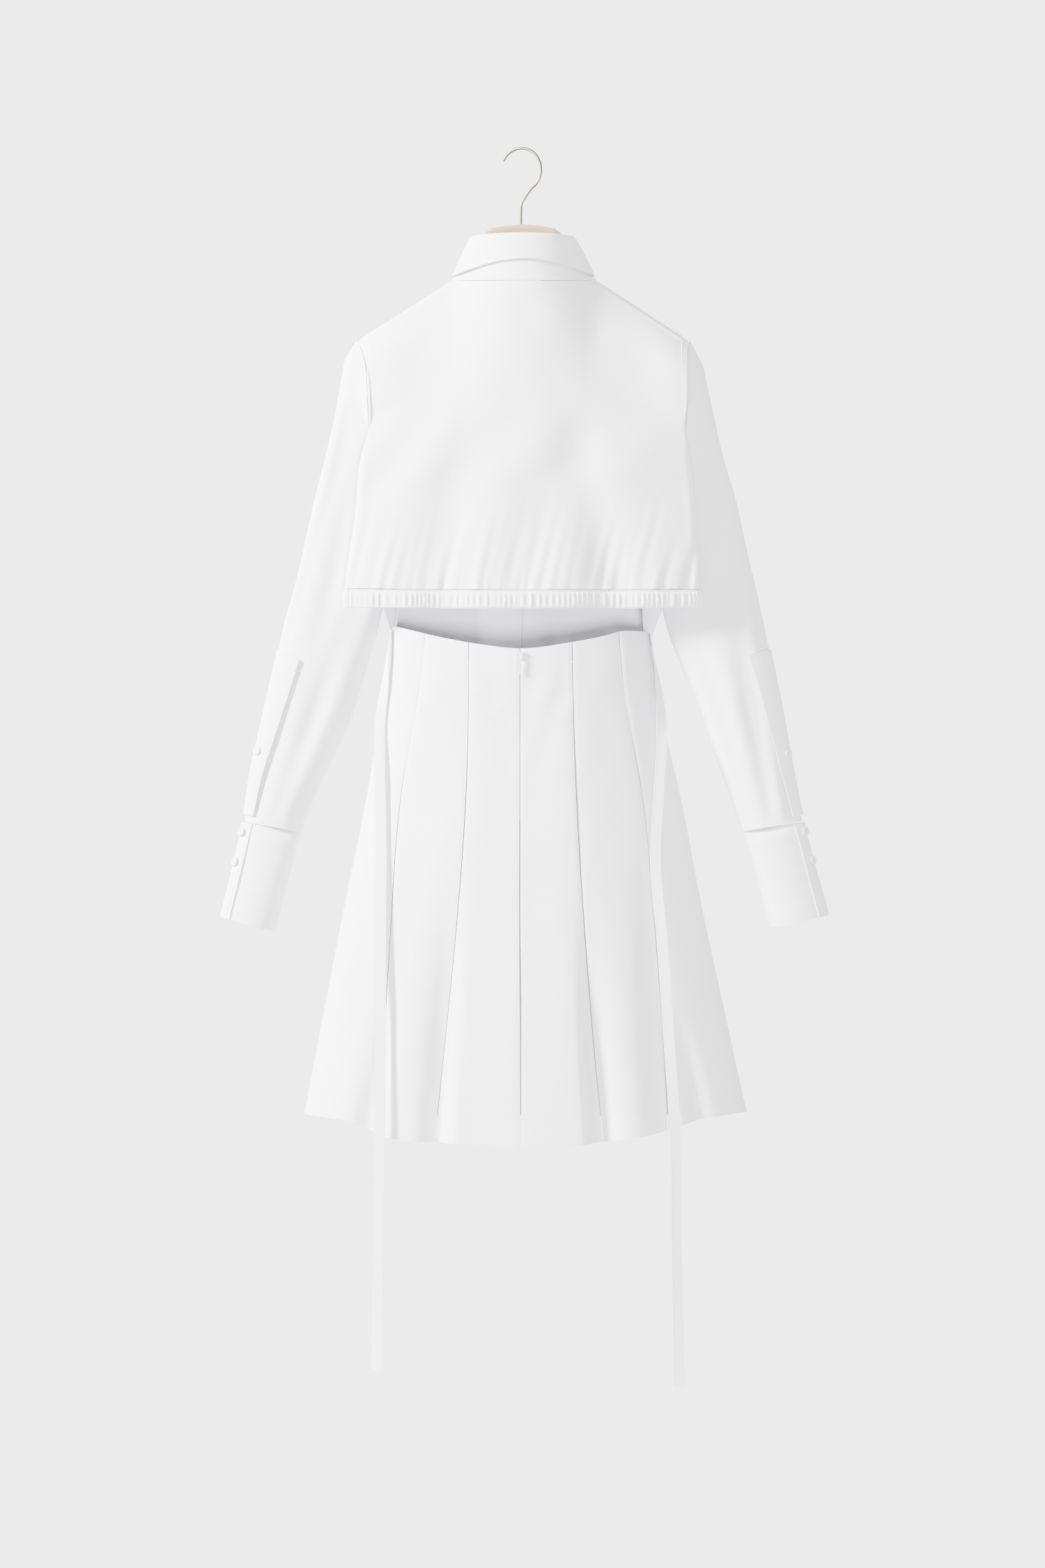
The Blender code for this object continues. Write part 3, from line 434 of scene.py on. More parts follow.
def shoulder_line(x):
    """z of the shoulder seam, and of the neck's edge behind, over x."""
    end_x, end_z = SHOULDER["left"] if x > NECK_MID_X else SHOULDER["right"]
    neck_x = NECK_MID_X + math.copysign(NECK_HALF, x - NECK_MID_X)
    t = (x - neck_x) / (end_x - neck_x)
    return NECK_Z + (end_z - NECK_Z) * t


def neck_share(x):
    """1 at the middle of the neck, 0 from its side points outwards."""
    return max(0.0, 1 - ((x - NECK_MID_X) / NECK_HALF) ** 2) ** 0.8


def top_edge(x, face):
    """y and z of the panel's top edge: along the shoulder, then round the neck. face is 1 behind, -1 in front."""
    share = neck_share(x)
    drop = NECK_BACK_DROP if face > 0 else NECK_FRONT_DROP
    if share > 0:
        return face * max(2 * SEAM, NECK_BACK_DEPTH * share), NECK_Z - drop * share
    return face * 2 * SEAM, shoulder_line(x)


def fold_depth(x, z, folds, z_low):
    """How far the long soft folds press the cloth in at this place."""
    depth = 0.0
    for _, top_x, low_x, top_z, half, deep in folds:
        t = (top_z - z) / (top_z - z_low)
        if t > 0:
            off = (x - lerp(top_x, low_x, t)) / half
            depth += deep * ease(t) * math.exp(-off * off)
    return depth


def bodice_y(x, z, face):
    """y of the back (face 1) or the front (face -1) over x and z."""
    top_y, top_z = top_edge(x, face)
    below = max(0.0, top_z - z)
    shoulder = 1 - min(1.0, 3 * neck_share(x))
    round_over = SHOULDER_ROUND * shoulder
    arc = min(1.0, below / SHOULDER_ROUND)
    y = abs(top_y) + round_over * math.sqrt(max(0.0, 1 - (1 - arc) ** 2))
    full = BACK_DEPTH if face > 0 else FRONT_DEPTH
    low = CORNER_DEPTH + (full - CORNER_DEPTH) * (1 - min(1.0, (abs(x) / 195.0)) ** 2)
    t = min(1.0, below / 230.0)
    y += (low - abs(top_y) - round_over) * (1 - (1 - t) ** 2)
    if face > 0:
        y -= fold_depth(x, z, BACK_FOLDS, BACK_HEM_Z)
    return face * y


def armhole(share, side, face):
    """A point of the armhole's seam, from the shoulder (0) to the underarm (1)."""
    return np.array([
        column(ARMHOLE, side_index(side), share),
        face * column(ARMHOLE, 3, share),
        column(ARMHOLE, 4, share),
    ])


def side_edge(z, side, face):
    """The panel's sewn side edge at a height: the armhole, then the side seam. It keeps clear of the seam."""
    shares = np.linspace(0, 1, 60)
    heights = column(ARMHOLE, 4, shares)
    if z > UNDERARM_Z:
        share = float(np.interp(-z, -heights, shares))
        x, y, _ = armhole(share, side, face)
        inward = -1 if side == "left" else 1
        return np.array([x + inward * 2.4, y + face * 0.6, z])
    return np.array([column(SIDE_SEAM, side_index(side), z), face * (WALL / 2 + SEAM + 1.0), z])


def turn_in(corner, edge, side, face, count):
    """Points from where the panel turns round its side to its sewn edge, in a flat lobe beside the sleeve."""
    outward = 1 if side == "left" else -1
    reach = abs(corner[0] - edge[0])
    bulge = min(5.0, reach * 0.3)
    inner = max(abs(edge[1]), min(20.0, abs(corner[1]) - 9.0))
    near = abs(edge[0]) + min(12.0, reach * 0.35)
    knots = np.array([
        corner,
        [corner[0] + outward * bulge, face * lerp(abs(corner[1]), inner, 0.45), lerp(corner[2], edge[2], 0.1)],
        [outward * lerp(abs(corner[0]), near, 0.35), face * inner, lerp(corner[2], edge[2], 0.3)],
        [outward * near, face * lerp(inner, abs(edge[1]), 0.25), lerp(corner[2], edge[2], 0.8)],
        edge,
    ])
    at = np.linspace(0, 1, count + 1)[1:]
    return np.stack([smooth_at(np.linspace(0, 1, 5), knots[:, i], at) for i in range(3)], axis=1)


TURN = 5  # columns of each turned-in side


def bodice_row(z_left, z_mid, z_right, corners, face, across):
    """One row of a panel that runs from side edge to side edge, at three heights across."""
    left = column(corners, 1, z_left)
    right = column(corners, 2, z_right)
    middle = []
    for u in np.linspace(1, -1, across):
        x = lerp(right, left, (u + 1) / 2)
        z = z_mid + (z_left - z_mid) * abs(u) ** 2 if u > 0 else z_mid + (z_right - z_mid) * abs(u) ** 2
        middle.append([x, bodice_y(x, z, face), z])
    ends = []
    for side, corner, z in (("left", middle[0], z_left), ("right", middle[-1], z_right)):
        edge = side_edge(z, side, face)
        ends.append(turn_in(np.array(corner), edge, side, face, TURN))
    return np.concatenate([ends[0][::-1], middle, ends[1]])


def bodice_top_row(corners, face, across):
    """The shoulder seams and the neck's edge between them."""
    left = column(corners, 1, -211.0)
    right = column(corners, 2, -211.0)
    points = []
    for u in np.linspace(1, -1, across):
        x = lerp(right, left, (u + 1) / 2)
        y, z = top_edge(x, face)
        points.append([x, y, z - LAYER * neck_share(x)])
    ends = []
    for side in ("left", "right"):
        end = np.array([*[SHOULDER[side][0]], face * 2 * SEAM, SHOULDER[side][1]])
        corner = np.array(points[0] if side == "left" else points[-1])
        inward = -1 if side == "left" else 1
        end[0] += inward * 1.5
        ends.append(np.array([corner + (end - corner) * t for t in np.linspace(0, 1, TURN + 1)[1:]]))
    return np.concatenate([ends[0][::-1], points, ends[1]])


def panel_rows(corners, face, across, low_left, low_mid, low_right, count):
    """A whole front or back: its top row, then rows that spread down to the lower edge."""
    top = bodice_top_row(corners, face, across)
    rows = [top]
    steps = [0.012, 0.028, 0.055, *np.linspace(0.11, 1.0, count)]
    for t in steps:
        left_z = lerp(SHOULDER["left"][1], low_left, t)
        right_z = lerp(SHOULDER["right"][1], low_right, t)
        row = bodice_row(left_z, low_mid, right_z, corners, face, across)
        for j in range(TURN, TURN + across):
            x = row[j][0]
            u = (j - TURN) / (across - 1)
            share = 1 - (2 * u - 1) ** 2
            low = lerp(lerp(low_left, low_right, u), low_mid, share)
            top_z = top_edge(x, face)[1] - LAYER * neck_share(x)
            z = lerp(top_z, low, t)
            row[j] = [x, bodice_y(x, z, face), z]
        rows.append(row)
    for i, row in enumerate(rows[1:], 1):
        for side, near, far in (("left", TURN, 0), ("right", TURN + across - 1, len(row) - 1)):
            edge = side_edge(lerp(SHOULDER[side][1], low_left, steps[i - 1]) - 0.0, side, face)
            ends = turn_in(row[near], edge, side, face, TURN)
            if side == "left":
                row[:TURN] = ends[::-1]
            else:
                row[-TURN:] = ends
    return np.array(rows)


# ---------------------------------------------------------------- the skirt's form


def skirt_form(z):
    left, right, depth = (column(SKIRT, i, z) for i in (1, 2, 3))
    return (left + right) / 2, (left - right) / 2, depth


def seam_angle(index, z):
    """The seam's angle round the skirt: 0 is the left side, 90 degrees the centre back."""
    middle, half, _ = skirt_form(z)
    return math.acos(max(-1.0, min(1.0, (column(SKIRT_SEAMS, index, z) - middle) / half)))


def skirt_point(angle, z):
    middle, half, depth = skirt_form(z)
    x = middle + half * math.cos(angle)
    y = depth * math.sin(angle)
    folds = SKIRT_BACK_FOLDS if y > 0 else SKIRT_FRONT_FOLDS
    press = 0.0
    for _, top_x, low_x, top_z, half_left, half_right, deep in folds:
        t = (top_z - z) / (top_z + 1110.0)
        if t > 0:
            off = x - lerp(top_x, low_x, t)
            off /= half_left if off > 0 else half_right
            press += deep * ease(t) * math.exp(-off * off)
    return np.array([x, y - math.copysign(press, y) * abs(math.sin(angle)) ** 0.5, z])


def skirt_panel(start, end, count, rows, front=False):
    """Rows from the top edge to the hem between two angles, each a function of z."""
    grid = []
    for v in np.linspace(0, 1, rows):
        line = []
        for u in np.linspace(0, 1, count):
            z = lerp(WAIST_SEAM_Z, -1090.0, v)
            for _ in range(3):
                angle = lerp(start(z), end(z), u)
                x = skirt_form(z)[0] + skirt_form(z)[1] * math.cos(angle)
                if front:
                    z = lerp(WAIST_SEAM_Z - 0.5, -1083.0 - FRONT_HEM_DROP * abs(math.sin(angle)), v)
                else:
                    top = smooth_at(*zip(*SKIRT_TOP), x)
                    low = smooth_at(*zip(*SKIRT_HEM), x)
                    z = lerp(float(top), float(low), v)
            gap = SEAM / max(60.0, skirt_form(z)[2])
            edge = gap if u == 0 else (-gap if u == 1 else 0.0)
            line.append(skirt_point(lerp(start(z), end(z), u) + edge, z))
        grid.append(line)
    return np.array(grid)


# ---------------------------------------------------------------- sleeves, cuffs and their trim


def arm_ring(rows, at, degrees, extra=0.0, taper_to=1e-9):
    """Points round an arm: 0 degrees is its outer edge and 90 its back. at runs from 0 to 1 down the rows."""
    table = np.array(rows)
    knots = np.linspace(0, 1, len(table))
    outer_x, outer_z, inner_x, inner_z, deep = (smooth_at(knots, table[:, i], at) for i in range(5))
    outer = np.array([outer_x, 0, outer_z])
    inner = np.array([inner_x, 0, inner_z])
    middle, reach = (outer + inner) / 2, (outer - inner) / 2
    stretch = 1 + extra / np.linalg.norm(reach)
    ring = []
    for angle in np.radians(degrees):
        inner_share = (1 - math.cos(angle)) / 2
        full = (deep + extra) * (1 - UNDERARM_TAPER * inner_share * float(ease(1 - at / taper_to)))
        ring.append(middle + reach * stretch * math.cos(angle) + np.array([0, full * math.sin(angle), 0]))
    return np.array(ring)


def armhole_ring(side, degrees):
    """The sleeve's first ring, just outside the armhole's seam."""
    outward = 1 if side == "left" else -1
    ring = []
    for angle in degrees:
        turn = angle % 360
        face = 1 if turn < 180 else -1
        share = (turn if turn < 180 else 360 - turn) / 180
        x, y, z = armhole(share, side, face)
        ring.append([x + outward * 0.5, y * lerp(0.93, 0.70, share), z])
    return np.array(ring)


def band_rows(rows, edge, back, count, around, extra):
    """A strip round part of an arm, from its back edge to its folded edge, in degrees at the top and the foot."""
    grid = []
    for v in np.linspace(0, 1, count):
        at = lerp(rows[1], rows[2], v)
        degrees = np.linspace(lerp(*back, v), lerp(*edge, v), around)
        grid.append(arm_ring(rows[0], at, degrees, extra))
    return np.array(grid)


def collar_ring(height, degrees, extra=0.0):
    """The stand's ring from the neck seam (0) to the roll edge (1). 90 degrees is the centre back."""
    points = []
    for angle in np.radians(degrees):
        sine = math.sin(angle)
        back = max(0.0, sine)
        front = max(0.0, -sine)
        low = NECK_Z - NECK_BACK_DROP * back**1.6 - NECK_FRONT_DROP * front**1.6 + LAYER
        high = -99.0 - 50.0 * front**1.6 - 2.0 * (1 - back)
        half = lerp(NECK_HALF - 1.0, 55.0, height**0.8) + extra
        deep = lerp(NECK_BACK_DEPTH, 34.0, height) + extra
        power = lerp(1.6, 1.0, height)
        x = NECK_MID_X * (1 - height) + half * math.cos(angle)
        points.append([x, math.copysign(deep * abs(sine) ** power, sine), lerp(low, high, height)])
    return np.array(points)


COLLAR_FALL = ((0.99, 1.0, 1.8), (0.93, 2.9, 0.6), (0.80, 3.3, 0.0), (0.62, 3.8, 0.0))  # height, out, lift




# ---------------------------------------------------------------- fine grids and their details


def refine_along(grid, count, closed=False):
    """Rows resampled to a larger count by cubics through them."""
    source = np.asarray(grid, float)
    n = len(source)
    if closed:
        source = np.concatenate([source[-1:], source, source[:2]])
        at = np.arange(count) * n / count + 1
    else:
        source = np.concatenate([2 * source[:1] - source[1:2], source, 2 * source[-1:] - source[-2:-1]])
        at = np.linspace(1, n, count)
    i = np.clip(at.astype(int), 1, len(source) - 3)
    t = (at - i)[:, None, None]
    a, b, c, d = (source[i + k] for k in (-1, 0, 1, 2))
    return b + 0.5 * t * (c - a + t * (2 * a - 5 * b + 4 * c - d + t * (3 * (b - c) + d - a)))


def refine(grid, rows, across, closed=False):
    tall = refine_along(grid, rows)
    return refine_along(tall.swapaxes(0, 1), across, closed).swapaxes(0, 1)


def lengths(grid):
    """Running lengths in millimetres: across each row, and down each column."""
    grid = np.asarray(grid, float)
    across = np.zeros(grid.shape[:2])
    across[:, 1:] = np.cumsum(np.linalg.norm(np.diff(grid, axis=1), axis=2), axis=1)
    down = np.zeros(grid.shape[:2])
    down[1:] = np.cumsum(np.linalg.norm(np.diff(grid, axis=0), axis=2), axis=0)
    return across, down


def waves(a, b, seed, length_a, length_b, count=9):
    """Smooth uneven ripples over two lengths, between about -1 and 1."""
    rng = np.random.default_rng(seed)
    total = np.zeros(np.broadcast(a, b).shape)
    for _ in range(count):
        fa, fb = rng.normal(1.0, 0.35) / length_a, rng.normal(0.0, 1.0) / length_b
        total += np.sin(2 * math.pi * (a * fa + b * fb) + rng.uniform(0, 2 * math.pi))
    return total / math.sqrt(count)


def press(grid, height, closed=False):
    """The grid moved along its normals by a height in millimetres, outwards where it is positive."""
    return moved_out(grid, 1.0, closed) * height[..., None] + grid * (1 - height[..., None])


def near(distance, width):
    return np.exp(-((distance / width) ** 2))


def shell(name, grid, wall, nodes, outward, closed=False):
    """A closed mesh of two faces and a rim on a grid whose outer side is given by outward, 1 or -1."""
    outer = moved_out(grid, outward * wall / 2, closed)
    inner = moved_out(grid, -outward * wall / 2, closed)
    rows, across = grid.shape[:2]
    total = rows * across
    index = np.arange(total).reshape(rows, across)
    following = np.roll(index, -1, axis=1) if closed else index[:, 1:]
    current = index if closed else index[:, :-1]
    quads = np.stack([current[:-1], following[:-1], following[1:], current[1:]], axis=-1).reshape(-1, 4)
    if outward < 0:
        quads = quads[:, ::-1]
    rims = []
    border = [(current[0], following[0]), (following[-1], current[-1])]
    if not closed:
        border += [(index[1:, 0], index[:-1, 0]), (index[:-1, -1], index[1:, -1])]
    for a, b in border:
        strip = np.stack([b, a, a + total, b + total], axis=-1).reshape(-1, 4)
        rims.append(strip if outward > 0 else strip[:, ::-1])
    faces = np.concatenate([quads, quads[:, ::-1] + total, *rims])
    mesh = bpy.data.meshes.new(name)
    points = np.concatenate([outer.reshape(-1, 3), inner.reshape(-1, 3)]) * MM
    mesh.from_pydata(points.tolist(), [], faces.tolist())
    mesh.shade_smooth()
    mesh.set_sharp_from_angle(angle=math.radians(55))
    made = bpy.data.objects.new(name, mesh)
    bpy.context.scene.collection.objects.link(made)
    made.data.materials.append(MATERIALS["cotton"])
    u = np.linalg.norm(np.cross(grid[1:, :-1] - grid[:-1, :-1], grid[:-1, 1:] - grid[:-1, :-1]), axis=2).sum()
    if closed:
        u += np.linalg.norm(np.cross(grid[1:, -1] - grid[:-1, -1], grid[:-1, 0] - grid[:-1, -1]), axis=1).sum()
    across_mm, down_mm = lengths(grid)
    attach(made, "root")
    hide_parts(*nodes)
    return made


def stitches(name, line, normal, length=2.2, gap=0.9, thick=0.34):
    """A row of stitches as one mesh of short rounded bars along a line on the cloth."""
    line = np.asarray(line, float)
    normal = np.asarray(normal, float)
    run = np.concatenate([[0], np.cumsum(np.linalg.norm(np.diff(line, axis=0), axis=1))])
    starts = np.arange(gap, run[-1] - length, length + gap)
    verts, faces = [], []
    shape = ((0.0, 0.30, 0.0), (0.2, 1.0, 0.6), (0.8, 1.0, 0.6), (1.0, 0.30, 0.0))
    for start in starts:
        base = len(verts)
        for share, wide, high in shape:
            at = start + share * length
            point = np.array([np.interp(at, run, line[:, k]) for k in range(3)])
            ahead = np.array([np.interp(at + 0.5, run, line[:, k]) for k in range(3)]) - point
            up = np.array([np.interp(at, run, normal[:, k]) for k in range(3)])
            side = np.cross(up, ahead)
            side /= np.linalg.norm(side) + 1e-9
            half = side * thick * wide / 2
            verts += [point + half - up * 0.1, point - half - up * 0.1, point + up * thick * high]
        for k in range(3):
            a = base + 3 * k
            for p, q in ((0, 1), (1, 2), (2, 0)):
                faces.append((a + p, a + q, a + 3 + q, a + 3 + p))
        faces.append((base, base + 2, base + 1))
        faces.append((base + 9, base + 10, base + 11))
    mesh = bpy.data.meshes.new(name)
    mesh.from_pydata([tuple(v * MM) for v in verts], [], faces)
    mesh.shade_smooth()
    made = bpy.data.objects.new(name, mesh)
    bpy.context.scene.collection.objects.link(made)
    made.data.materials.append(MATERIALS["thread"])
    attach(made, "root")
    return made


def stitch_row(name, grid, row_mm, wall, outward, closed=False, from_end=False):
    """Stitches along the grid's rows, a distance in from its first or last row."""
    _, down = lengths(grid)
    face = moved_out(grid, outward * (wall / 2 + 0.02), closed)
    normal = (moved_out(grid, outward, closed) - grid)
    line, ups = [], []
    for j in range(grid.shape[1]):
        run = down[:, j]
        at = run[-1] - row_mm if from_end else row_mm
        line.append([np.interp(at, run, face[:, j, k]) for k in range(3)])
        ups.append([np.interp(at, run, normal[:, j, k]) for k in range(3)])
    return stitches(name, line, ups)


def stitch_column(name, grid, column_mm, wall, outward, from_end=False):
    """Stitches down the grid, a distance in from its first or last column."""
    turned = grid.swapaxes(0, 1)
    return stitch_row(name, turned, column_mm, wall, -outward, from_end=from_end)


# ---------------------------------------------------------------- the pieces


ARMHOLE_SLOPE = 45.0  # how far in from an armhole the back's last slope starts


def gathers(across_mm, seed, pitch=8.5):
    """Uneven small gathers along an elasticated edge: narrow ridges of different heights."""
    shift = waves(across_mm, 0 * across_mm, seed, 55.0, 1e9) * pitch * 0.55
    ridge = np.sin(2 * math.pi * (across_mm + shift) / pitch)
    height = 0.72 + 0.28 * waves(across_mm, 0 * across_mm, seed + 1, 34.0, 1e9)
    return (0.55 * ridge + 0.45 * np.abs(ridge) ** 0.7 - 0.2) * height


def seam_pinch(across_mm):
    """Cloth dips a little where it is sewn to its neighbours, at both ends of each row."""
    return -0.45 * (near(across_mm, 2.2) + near(across_mm[:, -1:] - across_mm, 2.2))


def level_sides(rows):
    """The panel comes up to its armhole edges gently, with no step beside the seams."""
    for row in rows:
        inner = row[TURN:-TURN]
        for corner, edge, turned in ((inner[0], row[0], row[:TURN]), (inner[-1], row[-1], row[-TURN:])):
            rise = edge[1] - corner[1]
            if rise > 0:
                inner[:, 1] += rise * np.exp(-(((inner[:, 0] - corner[0]) / ARMHOLE_SLOPE) ** 2))
                turned[:, 1] = edge[1]


def make_back():
    coarse = panel_rows(BACK_CORNER, 1, 41, -495.0, BACK_HEM_Z, -496.0, 20)
    level_sides(coarse)
    grid = refine(coarse, 110, 190)
    across, down = lengths(grid)
    left = down[-1:] - down
    u = np.linspace(1, -1, grid.shape[1])[None, :]
    height = 1.1 * waves(across, down, 11, 120.0, 420.0) * np.minimum(1.0, down / 60.0)
    height += 0.9 * gathers(across, 21) * near(left, 15.0)
    height += 0.8 * waves(across, down, 12, 22.0, 300.0) * near(left, 60.0)
    height += -2.2 * near(u, 0.10) * near(down - 34.0, 26.0)
    height += seam_pinch(across)
    grid = press(grid, -height)
    shell("cloth_back", grid, WALL, ("back",), -1)
    return coarse, grid


def casing_grid(low, rows, across):
    steps = np.linspace(0, 1, 4)
    band = []
    for t in steps:
        row = low.copy()
        row[:, 2] -= CASING_WALL / 2 + LAYER + CASING_HEIGHT * t - 0.8
        band.append(row)
    return refine(np.array(band), rows, across)


def make_casings(coarse):
    """The gathered hem: a puffed band with a row of stitches, round the back and down each side."""
    low = coarse[-1]
    parts = (
        ("back", low[TURN:-TURN], 420, 31),
        ("left", low[: TURN + 1], 90, 41),
        ("right", low[-TURN - 1:], 90, 51),
    )
    for name, line, across_count, seed in parts:
        grid = casing_grid(line, 22, across_count)
        if name == "left":
            grid = grid[:, : -2]
        if name == "right":
            grid = grid[:, 2:]
        across, down = lengths(grid)
        share = down / down[-1:]
        puff = np.sin(math.pi * np.clip((share - 0.12) / 0.88, 0, 1)) ** 0.6
        height = (0.9 + 1.5 * gathers(across, seed, 7.0)) * puff - 0.7 * near(share - 0.10, 0.05)
        height += 0.5 * gathers(across, seed + 5, 4.6) * puff
        grid = press(grid, -height)
        shell(f"casing_{name}_gathered", grid, CASING_WALL * 0.8, (f"casing_{name}",), -1)
        stitch_row(f"casing_{name}_stitches", grid, 2.2, CASING_WALL * 0.8, -1)


def make_fronts():
    low = WAIST_SEAM_Z + 0.4
    rows = panel_rows(FRONT_CORNER, -1, 41, low, low, low, 16)
    middle = TURN + 20
    halves = (("left", rows[:, : middle + 1].copy(), SEAM, -1), ("right", rows[:, middle:].copy(), -SEAM, 0))
    for side, half, gap, edge in halves:
        half[:, edge, 0] += gap
        grid = refine(half, 90, 90)
        across, down = lengths(grid)
        height = 1.0 * waves(across, down, 61 if side == "left" else 62, 100.0, 380.0) * np.minimum(1, down / 70.0)
        dart = across[:, -1:] * (0.52 if side == "left" else 0.48)
        height += -0.9 * near(across - dart, 2.0) * np.clip((down - 190.0) / 60.0, 0, 1)
        height += seam_pinch(across)
        grid = press(grid, height)
        shell(f"cloth_front_{side}", grid, WALL, (f"front_{side}",), 1)
    top = rows[0][middle][2] - 3.0
    x = rows[0][middle][0]
    strip = []
    for z in np.linspace(top, WAIST_SEAM_Z + 4.0, 24):
        strip.append([[x + s, bodice_y(s, z, -1) - WALL - LAYER - 0.5, z] for s in (13.0, 6.5, 0.0, -6.5, -13.0)])
    grid = refine(np.array(strip), 90, 14)
    shell("placket_front", grid, WALL, ("front_placket",), 1)
    stitch_column("placket_front_stitches_a", grid, 2.0, WALL, 1)
    stitch_column("placket_front_stitches_b", grid, 2.0, WALL, 1, from_end=True)


def make_arm(side):
    seed = 70 if side == "left" else 80
    degrees = np.arange(36) * 10.0
    rows = [armhole_ring(side, degrees)]
    for at in np.linspace(0, 1, 24):
        rows.append(arm_ring(SLEEVES[side], at, degrees, taper_to=UNDERARM_REACH))
    grid = refine(np.array(rows), 130, 96, closed=True)
    across, down = lengths(grid)
    turn = np.linspace(0, 2 * math.pi, grid.shape[1], endpoint=False)[None, :]
    share = down / down[-1:]
    height = 1.3 * np.sin(2 * turn + 2.2 * share + seed) * np.sin(math.pi * share)
    height += 0.9 * waves(turn * 60, down, seed, 60.0, 260.0)
    height += -1.6 * near(turn - 1.15 - 0.5 * share, 0.22) * near(share - 0.33, 0.22)
    height += -1.3 * near(turn - 2.05 + 0.4 * share, 0.25) * near(share - 0.62, 0.20)
    height *= np.clip(down / 25.0, 0, 1) * np.clip((down[-1:] - down) / 18.0, 0, 1)
    height -= 0.4 * near(down[-1:] - down, 2.5)
    grid = press(grid, -np.minimum(height, 1.4), closed=True)
    shell(f"cloth_sleeve_{side}", grid, WALL, (f"sleeve_{side}",), -1, closed=True)
    make_arm_strip(side)
    make_cuff(side)


def make_arm_strip(side):
    strip = WALL + 2 * LAYER + 0.9
    rows = band_rows((SLEEVES[side], 0.60, 0.985), (PLACKET_TOP_DEG, PLACKET_LOW_DEG),
                     (PLACKET_BACK_DEG, PLACKET_BACK_DEG), 18, 12, strip)
    grid = refine(rows, 80, 24)
    shell(f"placket_sleeve_{side}", grid, WALL, (f"sleeve_placket_{side}",), side_out(side))
    stitch_column(f"placket_sleeve_{side}_stitches", grid, 1.8, WALL, side_out(side), from_end=True)
    stitch_row(f"placket_sleeve_{side}_top_stitches", grid, 1.8, WALL, side_out(side))


def side_out(side):
    return -1 if side == "left" else 1


def make_cuff(side):
    edge = PLACKET_LOW_DEG + 360
    degrees = np.linspace(CUFF_UNDER_DEG, edge, 48)
    lap = BAND_WALL + LAYER
    rows = []
    for v in np.linspace(0, 1, 9):
        rows.append([
            arm_ring(CUFFS[side], v, [angle], lap * float(ease((angle - 300) / 45)))[0] for angle in degrees
        ])
    grid = refine(np.array(rows), 44, 130)
    across, down = lengths(grid)
    height = 0.35 * waves(across, down, 91, 45.0, 120.0)
    grid = press(grid, side_out(side) * height * 0.6)
    out = side_out(side)
    shell(f"cloth_cuff_{side}", grid, BAND_WALL, (f"cuff_{side}",), out)
    stitch_row(f"cuff_{side}_stitches_top", grid, 1.8, BAND_WALL, out)
    stitch_row(f"cuff_{side}_stitches_foot", grid, 5.0, BAND_WALL, out, from_end=True)
    stitch_column(f"cuff_{side}_stitches_edge", grid, 4.0, BAND_WALL, out, from_end=True)


def make_collar():
    degrees = np.linspace(-100, 260, 73)
    lap = np.array([(BAND_WALL + LAYER) * float(ease((angle - 215) / 30)) for angle in degrees])
    stand = []
    for height in np.linspace(0, 1, 8):
        ring = collar_ring(height, degrees)
        ring[:, 1] -= lap
        stand.append(ring)
    grid = refine(np.array(stand), 30, 190)
    shell("cloth_collar_stand", grid, BAND_WALL, ("collar_stand",), -1)
    stitch_row("collar_stand_stitches", grid, 2.0, BAND_WALL, -1)
    stitch_row("collar_stand_foot_stitches", grid, 2.0, BAND_WALL, -1, from_end=True)
    grid = refine(fall_rows(np.linspace(-82, 262, 69)), 40, 190)
    shell("cloth_collar_fall", grid, WALL, ("collar_fall",), -1)
    stitch_row("collar_fall_stitches_a", grid, 1.6, WALL, -1, from_end=True)
    stitch_row("collar_fall_stitches_b", grid, 6.4, WALL, -1, from_end=True)


def fall_rows(around):
    heights = [row[0] for row in COLLAR_FALL] + [0.45]
    base = np.array([collar_ring(height, around) for height in heights])
    spread = moved_out(base, -1.0) - base
    fall = []
    for i in range(len(heights)):
        ring = base[i].copy()
        for k, angle in enumerate(around):
            front = max(0.0, -math.sin(math.radians(angle)))
            side = abs(math.cos(math.radians(angle)))
            out = (COLLAR_FALL[i][1] if i < 4 else 4.6) + 4.4 * float(ease((front - 0.2) / 0.4)) + 1.6 * side**6
            ring[k] += spread[i][k] * out
            if i < 4:
                ring[k][2] += COLLAR_FALL[i][2]
            else:
                ring[k][2] -= 18.0 * side**2 + 34.0 * front**2 * (1 - abs(math.sin(math.radians(angle))) ** 12)
                ring[k][0] *= 1 + 0.10 * side
            if angle < 0 or angle > 180:
                edge_z = top_edge(ring[k][0], -1)[1]
                if edge_z + 4.0 - ring[k][2] > 0:
                    clear = abs(bodice_y(ring[k][0], min(ring[k][2], edge_z), -1)) + 3.0
                    ring[k][1] = -max(abs(ring[k][1]), clear)
        fall.append(ring)
    return np.array(fall)


